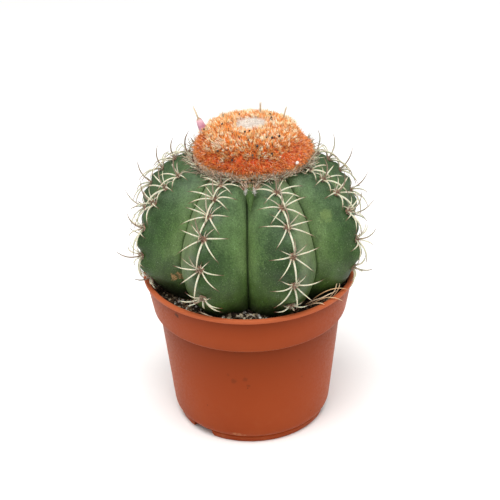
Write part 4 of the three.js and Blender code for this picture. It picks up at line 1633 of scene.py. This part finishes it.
    def grit(self) -> Piece:
        """Pale grit and a few white grains, most of them at the front and the left.

        Returns:
            The new object.
        """
        rng = np.random.default_rng(Draw.GRIT)
        count = self.grit_count
        centre = self.scatter(count, 44, keep_front=True)
        ahead = np.abs(np.arctan2(centre[:, 0], -centre[:, 1]) + 0.05) < 0.25
        size = rng.uniform(*self.grit_sizes, count) * np.where(ahead, 1.35, 1)
        centre[:, 2] += size * np.where(ahead, 0.9, 0.5)
        radii = size[:, None] * rng.uniform(0.6, 1.15, (count, 3))
        is_pale = rng.uniform(0, 1, count) < self.pale_share
        shade = np.where(is_pale, rng.uniform(0.82, 1.0, count), rng.uniform(0.1, 0.55, count))
        return grains("soil_grit", centre, radii, shade, 0.25, 45)

    def fibres(self) -> Piece:
        """Fine roots and husks that lie on the soil.

        Returns:
            The new object.
        """
        rng = np.random.default_rng(Draw.FIBRES)
        count = self.fibre_count
        root = self.scatter(count, 47)
        root[:, 2] += 0.5
        aim = unit(rng.normal(size=(count, 3)) * [1, 1, 0.12])
        tip = root + rng.uniform(*self.fibre_lengths, count)[:, None] * aim
        reach = np.hypot(tip[:, 0], tip[:, 1])
        tip[:, :2] *= np.minimum(1, (self.outer - 0.6) / reach)[:, None]
        tip[:, 2] = self.height_at(tip) + rng.uniform(0.3, 1.1, count)
        bend = (root + tip) / 2 + rng.normal(0, 0.8, (count, 3)) * [1, 1, 0.4] + [0, 0, 0.7]
        radius = rng.uniform(*self.fibre_radii, count)
        return strands("soil_fibres", root, bend, tip, radius, rng.uniform(0.55, 0.95, count),
                       steps=5, wave=0.05, seed=48)

    def long_fibres(self) -> Piece:
        """The few long tan fibres that arch up from the soil and over the pot's lip.

        Returns:
            The new object.
        """
        ends = np.array(self.rim_fibres)
        count = len(ends)
        radius, shade = np.full(count, self.long_fibre_radius), np.linspace(0, 1, count)
        return strands("rim_fibres", ends[:, 0], ends[:, 1], ends[:, 2], radius, shade,
                       sides=5, steps=14, thin_from=5.0, wave=0.012, seed=54)

    def build(self) -> None:
        """Makes the soil and what lies on it."""
        peat = PEAT.make()
        for piece in (self.plug(), self.crumbs(), self.chunks(), self.grit(), self.fibres()):
            place(piece, "soil", peat)
        place(self.long_fibres(), "soil", STRAW.make())


# The cap


@dataclass
class Cap:
    """The dome of orange bristles and cream wool, with its crown and seeds."""

    centre: Pair
    profile: tuple[Pair, ...] = (
        (24.6, 140.9), (27.3, 141.5), (27.8, 142.6), (26.9, 144.7), (25.4, 147.2),
        (23.8, 149.6), (21.4, 151.8), (17.6, 153.5), (12.8, 154.5), (7.2, 154.8),
    )
    lean: float = 0.115
    slack: float = 1.8
    inset: float = 0.9
    core_rings: int = 40
    core_sides: int = 200
    unevenness: tuple[Point, ...] = ((0.3, 1.6, 51), (0.2, 0.8, 52))
    bristle_count: int = 15000
    bristle_lengths: Pair = (1.9, 3.2)
    bristle_radii: Pair = (0.08, 0.13)
    long_share: float = 0.17
    long_extra: Pair = (0.5, 1.7)
    lower_edge: float = 0.13
    front_left: float = 305.0
    tuft_count: int = 760
    tuft_start: float = 0.26
    hairs_per_tuft: int = 14
    tuft_lengths: Pair = (1.5, 2.9)
    tuft_radii: Pair = (0.11, 0.19)
    lowest_tip: float = 139.2
    band_top: float = 0.33
    crown_radius: float = 6.3
    crown_sides: int = 64
    crown_floor: float = 153.2
    crown_top: float = 155.2
    crown_reach: float = 9.4
    crown_heights: Pair = (154.2, 156.5)
    crown_hairs: int = 2900
    crown_lengths: Pair = (1.3, 2.8)
    crown_radii: Pair = (0.07, 0.13)
    samples: int = 400
    loose_seeds: int = 12
    bead: Point = (23.0, -20.2, 143.9)
    bead_size: Point = (0.95, 0.95, 0.8)
    # Azimuth and dome radius of the listed seeds; the last four, by the lower front edge, are also painted
    # shade in dark gaps.
    seed_marks: tuple[Pair, ...] = (
        (-89, 21.2), (-83, 12.9), (-12, 11.7), (-2, 10.9), (-4, 18.2), (24, 17.3), (31, 18.4), (43, 18.7),
        (102, 10.1), (7, 21.3), (0, 24.2), (22, 24.3), (-39, 24.2), (-21, 25.6),
    )

    @classmethod
    def from_frame(cls) -> Cap:
        """Takes the cap's middle from its crown's solid."""
        low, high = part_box("cap_crown")
        rise = (low.z + high.z) / 2 / MM - cls.profile[0][1]
        return cls(centre=((low.x + high.x) / 2 / MM + cls.lean * rise, (low.y + high.y) / 2 / MM))

    def shift(self, points: Array) -> Array:
        """Moves points from the cap's own axis to its place, leaning left and slack at the right.

        Args:
            points: Places, in millimetres.

        Returns:
            The moved places.
        """
        moved = points + np.array([*self.centre, 0.0])
        rise = points[:, 2] - self.profile[0][1]
        to_right = np.clip(points[:, 0] / self.profile[0][0], 0, 1)
        moved[:, 0] -= self.lean * rise + self.slack * to_right * np.sin(pi * np.clip(rise / 13, 0, 1))
        return moved

    def surface(self, share: Array, azimuth: Array) -> tuple[Array, Array]:
        """Places on the dome and its normals there.

        Args:
            share: From 0 at the lower edge to 1 at the crown.
            azimuth: In radians.

        Returns:
            The places and the outward directions.
        """
        line = smooth_line(self.profile, self.samples)
        slope = unit(np.gradient(line, axis=0))
        at = np.clip(share, 0, 1) * (len(line) - 1)
        radius, z, run, climb = (np.interp(at, np.arange(len(line)), values)
                                 for values in (line[:, 0], line[:, 1], slope[:, 0], slope[:, 1]))
        ahead = around(azimuth)
        spots = ahead * radius[:, None]
        spots[:, 2] = z
        normals = ahead * climb[:, None]
        normals[:, 2] = -run
        return spots, unit(normals)

    def share_at(self, part: Array, low: float) -> Array:
        """Where on the dome's height line a part, from 0 to 1, of its area above a share lies.

        Args:
            part: Parts of the area.
            low: The share where the area starts.

        Returns:
            The shares.
        """
        shares = np.linspace(0, 1, self.samples)
        weight = np.where(shares >= low, smooth_line(self.profile, self.samples)[:, 0], 0)
        return np.interp(part, np.cumsum(weight) / weight.sum(), shares)

    def draw(self, count: int, rng: np.random.Generator, low: float = 0.0) -> tuple[Array, Array]:
        """Random places on the dome, evenly over its area above a share."""
        return self.share_at(rng.uniform(0, 1, count), low), rng.uniform(0, 2 * pi, count)

    def core(self) -> Piece:
        """The dense body under the bristles.

        Returns:
            The new object.
        """
        line = smooth_line(self.profile, self.core_rings)
        slope = unit(np.gradient(line, axis=0))
        line = line + self.inset * np.stack([-slope[:, 1], slope[:, 0]], -1)
        low, high = line[0, 1], line[-1, 1] + 0.1
        profile = np.vstack([[(0.05, low)], line, [(3.0, high), (0.05, high)]])
        points, faces = turned(profile, self.core_sides)
        outward = unit(points - [0, 0, 130])
        points = points + layered(points, self.unevenness)[:, None] * outward
        shade = np.clip(0.3 + 0.3 * lumps(points, 2.2, 53), 0, 1)
        return add_felt("cap_core", self.shift(points), faces, shade, 0.15)

    def clumps(self, spots: Array) -> Array:
        """How much cream wool shows between the bristles, in patches from 0 to 1."""
        return np.clip(0.5 + 0.6 * lumps(spots, 3.0, 55), 0, 1)

    @classmethod
    def band_edge(cls, spots: Array) -> Array:
        """The share at which the plain orange band ends, higher at the cap's two sides."""
        from_side = (spots[:, 0] / np.hypot(spots[:, 0], spots[:, 1])) ** 4
        return cls.band_top + 0.2 * from_side + 0.06 * lumps(spots, 3.5, 58)

    def bristles(self) -> Piece:
        """Short orange bristles, densest round the lower edge.

        Returns:
            The new object.
        """
        rng = np.random.default_rng(Draw.BRISTLES)
        count = self.bristle_count
        share, azimuth = self.draw(count, rng)
        spots, normals = self.surface(share, azimuth)
        upper = np.clip((share - self.band_edge(spots) + 0.08) / 0.16, 0, 1)
        lean = rng.normal(0, 0.36, (count, 3))
        from_left = (azimuth - radians(self.front_left) + pi) % (2 * pi) - pi
        front_left = np.exp(-((from_left / 0.35) ** 2))
        sag = -0.25 - 0.55 * lumps(spots, 4, 56) + 0.5 * front_left
        droop = np.where(share < self.lower_edge, sag, 0.2 - 0.5 * (1 - upper))[:, None] * UP
        aim = unit((0.6 + 0.4 * upper)[:, None] * normals + lean + droop)
        length = rng.uniform(*self.bristle_lengths, count) - 0.2 * (1 - upper)
        is_long = rng.uniform(0, 1, count) < self.long_share
        length += np.where(is_long, rng.uniform(*self.long_extra, count), 0)
        length += np.where(share < 0.1, np.clip(0.6 * lumps(spots, 5, 57), 0, 1.0), 0)
        root = spots - (0.8 + 0.5 * upper)[:, None] * normals
        tip = root + length[:, None] * aim
        bend = (root + tip) / 2 + 0.25 * (1 - upper)[:, None] * normals + rng.normal(0, 0.2, (count, 3))
        tip[:, 2] = np.maximum(tip[:, 2], self.lowest_tip)
        pale = self.clumps(spots) * upper
        near_crown = np.clip((share - 0.82) / 0.18, 0, 1)
        # The lower band's bristles take a lighter orange, partly their own colour and partly painted light
        # that offsets the shade under the dome.
        shade = rng.normal(0.38, 0.3 - 0.16 * upper, count) - 0.22 * upper + 0.2 * pale + 0.6 * near_crown
        shade = np.clip(shade, 0, 1)
        radius = rng.uniform(*self.bristle_radii, count) + 0.05 * upper
        ends = map(self.shift, (root, bend, tip))
        return strands("cap_bristles", *ends, radius, shade, steps=2, thin_from=2.4)

    def tufts(self) -> Piece:
        """Cream wool in tufts between the bristles of the upper dome.

        Returns:
            The new object.
        """
        rng = np.random.default_rng(Draw.TUFTS)
        number = self.tuft_count
        order = np.arange(number)
        share = self.share_at((order + 0.5) / number, self.tuft_start) + rng.normal(0, 0.008, number)
        spots, normals = self.surface(share, order * GOLDEN_ANGLE + rng.normal(0, 0.02, number))
        shows = share > self.band_edge(spots) - 0.03
        spots, normals = spots[shows], normals[shows]
        paler = 0.16 * np.exp(-(((share[shows] - 0.5) / 0.16) ** 2))
        lean = unit(normals + rng.normal(0, 0.2, normals.shape) + [0, 0, 0.15])
        repeat = self.hairs_per_tuft
        spots, lean = np.repeat(spots, repeat, 0), np.repeat(lean, repeat, 0)
        count = len(spots)
        root = spots - 0.5 * lean + rng.normal(0, 0.33, (count, 3))
        aim = unit(lean + rng.normal(0, 0.26, (count, 3)))
        tall = np.repeat(rng.uniform(0.7, 1.28, len(normals)), repeat)
        tip = root + (rng.uniform(*self.tuft_lengths, count) * tall)[:, None] * aim
        bend = halfway(rng, root, tip, 0.14)
        shade = np.repeat(rng.uniform(0, 1, len(normals)) + paler, repeat) + rng.normal(0, 0.12, count)
        radius = rng.uniform(*self.tuft_radii, count)
        ends = map(self.shift, (root, bend, tip))
        return strands("cap_tufts", *ends, radius, np.clip(shade, 0, 1), steps=2, thin_from=2.2)

    def crown(self) -> Piece:
        """The mat of curled white wool in the middle of the cap.

        Returns:
            The new object.
        """
        rng = np.random.default_rng(Draw.CROWN)
        count = self.crown_hairs
        radius = self.crown_radius * np.sqrt(rng.uniform(0, 1, count))
        radius = radius + np.abs(rng.normal(0, 1.5, count)) * (radius > 0.75 * self.crown_radius)
        azimuth = rng.uniform(0, 2 * pi, count)
        root = around(azimuth) * radius[:, None] + [0.8, -0.5, 0]
        dome = self.crown_top - 0.55 * (radius / self.crown_radius) ** 2
        root[:, 2] = dome + rng.uniform(-0.9, 0.25, count)
        aim = unit(rng.normal(0, 1, (count, 3)) * [1, 1, 0.45] + [0, 0, 0.3])
        length = rng.uniform(*self.crown_lengths, count)
        tip = root + length[:, None] * aim
        reach = np.hypot(tip[:, 0], tip[:, 1])
        tip[:, :2] *= np.minimum(1, self.crown_reach / reach)[:, None]
        tip[:, 2] = np.clip(tip[:, 2], *self.crown_heights)
        bend = (root + tip) / 2 + rng.normal(0, 0.45, (count, 3)) * [1, 1, 0.5]
        radius = rng.uniform(*self.crown_radii, count)
        shade = rng.uniform(0, 1, count)
        ends = map(self.shift, (root, bend, tip))
        return strands("crown_wool", *ends, radius, shade, steps=4, wave=0.09, seed=63)

    def crown_pad(self) -> Piece:
        """The felted bed under the crown's wool.

        Returns:
            The new object.
        """
        edge = self.crown_radius
        profile = np.array([
            (0.05, self.crown_floor), (edge, self.crown_floor), (edge, 154.3), (0.85 * edge, 154.8),
            (0.6 * edge, 155.1), (0.3 * edge, 155.25), (0.05, 155.3),
        ])
        points, faces = turned(profile, self.crown_sides)
        points[:, 2] += np.where(points[:, 2] > 154, 0.15, 0) * lumps(points, 1.1, 64)
        shade = np.clip(0.5 + 0.3 * lumps(points, 1.2, 65), 0, 1)
        return add_felt("crown_bed", self.shift(points), faces, shade, 0.5)

    def seeds(self) -> Piece:
        """Black seeds scattered over the dome, some also set as painted shade in dark gaps at its lower
        front, and one white bead by its front edge.

        Returns:
            The new object.
        """
        rng = np.random.default_rng(Draw.SEEDS)
        radii = smooth_line(self.profile, self.samples)[:, 0]
        marks = np.array(self.seed_marks, float)
        widest, last = int(radii.argmax()), self.samples - 1
        at = np.interp(-marks[:, 1], -radii[widest:], np.linspace(widest / last, 1, self.samples - widest))
        share, azimuth = self.draw(self.loose_seeds, rng, low=0.2)
        share = np.concatenate([at, share])
        azimuth = np.concatenate([np.radians(marks[:, 0]), pi / 2 + azimuth / 2])
        spots, normals = self.surface(share, azimuth)
        spots = self.shift(spots + 1.3 * normals)
        size = rng.uniform(0.36, 0.62, len(spots))
        size[: len(marks)] *= 1.2
        size = size[:, None] * rng.uniform(0.75, 1.1, (len(spots), 3))
        shade = rng.uniform(0, 0.5, len(spots))
        spots, size = np.vstack([spots, self.bead]), np.vstack([size, self.bead_size])
        return grains("cap_seeds", spots, size, np.append(shade, 1.0), 0.14, 67)

    def build(self) -> None:
        """Makes the dome, its wool and its seeds, and the crown."""
        for piece, finish in (
            (self.core(), CAP_CORE), (self.bristles(), BRISTLE), (self.tufts(), CAP_WOOL),
            (self.seeds(), SEED_COAT),
        ):
            place(piece, "cap", finish.make())
        white = CROWN_WOOL.make()
        place(self.crown_pad(), "cap_crown", white)
        place(self.crown(), "cap_crown", white)


@dataclass
class Skirt:
    """The ring of tangled tan wool and old spines between the cap and the ribs."""

    rib_azimuths: tuple[float, ...]
    centre: Pair = (2.4, 1.1)
    inner: float = 20.2
    outer: float = 27.6
    bottom: float = 138.2
    top: float = 140.9
    sides: int = 180
    ragged: float = 320.0
    tuft_width: float = 13.0
    hair_count: int = 5200
    hair_lengths: Pair = (0.8, 2.8)
    hair_radii: Pair = (0.09, 0.2)
    spine_count: int = 520
    spine_lengths: Pair = (2.6, 8.4)
    spine_radii: Pair = (0.11, 0.25)

    def shift(self, points: Array) -> Array:
        """Moves points from the skirt's own axis to its place."""
        return points + np.array([*self.centre, 0])

    def bed(self) -> Piece:
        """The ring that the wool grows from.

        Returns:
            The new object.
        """
        outer, bottom, top = self.outer, self.bottom, self.top
        points, faces = turned(np.array([
            (self.inner, bottom + 0.8), (outer - 3, bottom + 0.5), (outer - 0.9, bottom),
            (outer - 0.2, bottom + 1.1), (outer - 0.6, top - 0.7), (outer - 1.6, top - 0.2),
            (self.inner, top - 0.1),
        ]), self.sides)
        points = points + (0.5 * lumps(points, 2.0, 71) - 0.2)[:, None] * unit(points * LEVEL)
        shade = np.clip(0.5 + 0.35 * lumps(points, 2.4, 72), 0, 1)
        return add_felt("skirt_bed", self.shift(points), faces, shade, 0.1)

    def wool(self) -> Piece:
        """Tangled wool, tan with grey and white patches.

        Returns:
            The new object.
        """
        rng = np.random.default_rng(Draw.SKIRT_WOOL)
        count = self.hair_count
        azimuth = rng.uniform(0, 2 * pi, count)
        ahead, along = around(azimuth), beside(azimuth)
        root = ahead * rng.uniform(self.outer - 1.9, self.outer + 0.1, count)[:, None]
        root[:, 2] = rng.uniform(self.bottom - 1.0, self.top + 0.1, count)
        aim = unit(rng.normal(0.5, 0.5, (count, 1)) * ahead + rng.normal(0, 1, (count, 1)) * along
                   + rng.normal(-0.1, 0.5, (count, 1)) * UP)
        from_rib = np.abs((np.degrees(azimuth)[:, None] - self.rib_azimuths + 180) % 360 - 180).min(axis=1)
        thick = np.clip(np.exp(-((from_rib / self.tuft_width) ** 2)) + 0.3 * lumps(root, 3, 77), 0, 1)
        tip = root + (rng.uniform(*self.hair_lengths, count) * (0.55 + 0.8 * thick))[:, None] * aim
        reach = np.hypot(tip[:, 0], tip[:, 1])
        tip[:, :2] *= np.minimum(1, (self.outer - 0.5 + 1.4 * thick) / reach)[:, None]
        tip[:, 2] = np.clip(tip[:, 2], self.bottom - 2.2, self.top + 0.5)
        bend = (root + tip) / 2 + rng.normal(0, 0.7, (count, 3)) * [1, 1, 0.6]
        patches = 0.5 + 0.5 * lumps(root, 1.9, 74)
        shade = np.clip(rng.normal(0.58, 0.22, count) + 0.8 * (patches - 0.5), 0, 1)
        radius = rng.uniform(*self.hair_radii, count)
        ends = map(self.shift, (root, bend, tip))
        return strands("skirt_wool", *ends, radius, shade, steps=4, wave=0.05, seed=75)

    def old_spines(self) -> Piece:
        """Dry spines of the youngest areoles, caught in the wool.

        Returns:
            The new object.
        """
        rng = np.random.default_rng(Draw.OLD_SPINES)
        count = self.spine_count
        middles = rng.choice((*self.rib_azimuths, self.ragged), count)
        azimuth = np.radians(middles + rng.normal(0, 9, count))
        ahead, along = around(azimuth), beside(azimuth)
        root = ahead * (self.outer + 0.2)
        root[:, 2] = self.bottom + rng.uniform(-1.0, 1.4, count)
        aim = unit(ahead + rng.normal(0, 0.75, (count, 1)) * along
                   + rng.uniform(-0.2, 1.9, (count, 1)) * UP)
        length = rng.uniform(*self.spine_lengths, count)[:, None]
        tip = root + length * aim
        bend = root + 0.5 * length * aim + 0.18 * length * ahead
        radius = rng.uniform(*self.spine_radii, count)
        shade = rng.uniform(0.25, 1.0, count)
        ends = map(self.shift, (root, bend, tip))
        return strands("skirt_spines", *ends, radius, shade, sides=5, steps=6, thin_from=2.6)

    def build(self) -> None:
        """Makes the ring, its wool and its old spines."""
        tan = TAN_WOOL.make()
        place(self.bed(), "cap_skirt", tan)
        place(self.wool(), "cap_skirt", tan)
        place(self.old_spines(), "cap_skirt", Horn().make())


# The fruit and the dry flowers


@dataclass
class Fruit:
    """The pink fruit at the cap's left, with a thin dry flower on it."""

    foot: Point = (-19.6, 3.5, 149.6)
    tip: Point = (-22.3, 4.5, 157.0)
    radius: float = 1.8
    rings: int = 26
    sides: int = 32
    profile: tuple[Pair, ...] = (
        (0.1, 0.0), (1.1, 0.02), (1.75, 0.25), (1.95, 0.55), (1.6, 0.86), (0.8, 1.0), (0.1, 1.02),
    )
    stalk_tip: Point = (-25.1, 11.6, 161.1)
    stalk_fork: Point = (0.25, -1.4, -1.0)

    def build(self) -> None:
        """Makes the fruit and its stalk."""
        foot, tip = np.array(self.foot), np.array(self.tip)
        axis = tip - foot
        length = np.linalg.norm(axis)
        line = smooth_line(self.profile, self.rings)
        line[:, 0] *= self.radius / max(radius for radius, _ in self.profile)
        points, faces = turned(line * [1, length], self.sides)
        share = points[:, 2] / length
        turn = Vector((0, 0, 1)).rotation_difference(Vector(axis)).to_matrix()
        points = points @ np.array(turn).T + foot
        points = points + 0.08 * lumps(points, 1.2, 81)[:, None] * unit(points - foot - axis / 2)
        fruit = add_mesh("fruit_body", points, faces, {"along": share})
        place(fruit, "fruit", FRUIT_SKIN.make())
        end = np.array(self.stalk_tip)
        root = np.array([tip - 0.5 * axis / length, tip - 0.3 * axis / length])
        ends = np.array([end, end + self.stalk_fork])
        bend = (root + ends) / 2 + [-0.2, -0.5, 0.7]
        stalk = strands("fruit_stalk", root, bend, ends, np.array([0.42, 0.3]), np.array([0.5, 0.8]),
                        sides=7, steps=8, thin_from=4.0, wave=0.012, seed=82)
        place(stalk, "fruit", DRY_PAPER.make())


@dataclass
class DryFlower:
    """A dried flower remnant: a thin wrinkled tube with a frayed tip."""

    name: str
    foot: Point
    tip: Point
    seed: int
    frays: int = 7
    radii: Pair = (0.12, 0.24)

    def build(self, finish: Material) -> None:
        """Makes the remnant.

        Args:
            finish: Its material.
        """
        rng = np.random.default_rng(self.seed)
        foot, tip = np.array(self.foot), np.array(self.tip)
        axis = tip - foot
        count = self.frays
        root = foot + rng.normal(0, 0.14, (count, 3))
        share = np.append(rng.uniform(0.72, 0.95, count - 1), 1.0)[:, None]
        ends = foot + share * axis + rng.normal(0, 0.28, (count, 3)) * [1, 1, 0.1]
        ends[:, 2] = np.minimum(ends[:, 2], tip[2])
        bend = halfway(rng, root, ends, 0.25)
        radius = rng.uniform(*self.radii, count)
        shade = rng.uniform(0.4, 1.0, count)
        piece = strands(self.name + "_fray", root, bend, ends, radius, shade,
                        sides=6, steps=8, thin_from=3.5, wave=0.02, seed=self.seed)
        place(piece, self.name, finish)


DRY_FLOWERS = (
    DryFlower("dry_flower_back", (6.9, 15.1, 153.2), (7.3, 16.4, 161.3), 91),
    DryFlower("dry_flower_right", (17.4, 8.9, 152.6), (19.6, 10.2, 161.1), 92),
    DryFlower("dry_flower_left", (-10.8, 10.4, 152.6), (-11.2, 11.0, 158.7), 93),
)


# The studio


@dataclass
class Studio:
    """The camera, the pale floor and the soft lights."""

    camera_spot: Point = (0.56, -529.8, 370.35)
    camera_target: Point = (0.56, 0.0, 88.67)
    lens: float = 87.63
    sensor: float = 36.0
    roll: float = 1.3
    floor_size: float = 9.0
    sky: float = 0.56
    aim_height: float = 0.08
    lights: tuple[tuple[str, Point, float, float], ...] = (
        ("top", (-0.1, -0.45, 1.4), 1.1, 25.0),
        ("left", (-1.4, -0.2, 0.7), 0.9, 1.5),
        ("right", (1.4, -0.2, 0.7), 0.9, 5.5),
    )

    def camera(self) -> None:
        """Places the camera at the photograph's viewing angle."""
        data = bpy.data.cameras.new("camera")
        data.lens = self.lens
        data.sensor_width = self.sensor
        data.clip_start = 0.01
        made = bpy.data.objects.new("camera", data)
        bpy.context.scene.collection.objects.link(made)
        spot, target = Vector(self.camera_spot) * MM, Vector(self.camera_target) * MM
        made.location = spot
        made.rotation_euler = (target - spot).to_track_quat("-Z", "Y").to_euler()
        made.rotation_euler.rotate_axis("Z", -radians(self.roll))
        bpy.context.scene.camera = made

    def floor(self) -> None:
        """Lays the pale floor."""
        half = self.floor_size / 2 / MM
        corners = np.array([(-half, -half, 0), (half, -half, 0), (half, half, 0), (-half, half, 0)])
        plane = add_mesh("floor", corners, [np.array([[0, 1, 2, 3]])])
        shader = Shader("floor_white")
        shader.feed("Base Color", shader.ramp(shader.noise(3, 2), ((0.0, "f3f2f0"), (1.0, "f8f7f5"))))
        shader.set(Roughness=0.9, Specular_IOR_Level=0.1)
        plane.data.materials.append(shader.material)

    def light(self, name: str, spot: Point, size: float, power: float) -> None:
        """Hangs a square soft light, in metres and watts, that faces the plant.

        Args:
            name: The light's name.
            spot: Where it hangs, in metres.
            size: Its width, in metres.
            power: Its power, in watts.
        """
        data = bpy.data.lights.new(name, "AREA")
        data.size = size
        data.energy = power
        made = bpy.data.objects.new(name, data)
        made.location = spot
        aim = Vector((0, 0, self.aim_height)) - Vector(spot)
        made.rotation_euler = aim.to_track_quat("-Z", "Y").to_euler()
        bpy.context.scene.collection.objects.link(made)

    def build(self) -> None:
        """Sets up everything that isn't part of the object."""
        self.camera()
        self.floor()
        world = bpy.data.worlds.new("studio")
        world.use_nodes = True
        background = world.node_tree.nodes["Background"]
        background.inputs["Color"].default_value = (1.0, 1.0, 1.0, 1.0)
        background.inputs["Strength"].default_value = self.sky
        bpy.context.scene.world = world
        bpy.context.scene.view_settings.view_transform = "Standard"
        for light in self.lights:
            self.light(*light)


def main() -> None:
    """Builds the plant in its pot, piece by piece, and then the studio."""
    logging.basicConfig(level=logging.INFO, format="%(message)s")
    pot = Pot.from_frame()
    pot.build()
    cap = Cap.from_frame()
    stem = Stem(rim_radius=pot.rim_radius, rim_top=pot.height, cap_centre=cap.centre)
    stem.build()
    Soil(stem).build()
    cap.build()
    Skirt(stem.rib_azimuths).build()
    Fruit().build()
    paper = DRY_PAPER.make()
    for flower in DRY_FLOWERS:
        flower.build(paper)
    Studio().build()


if __name__ == "__main__":
    main()
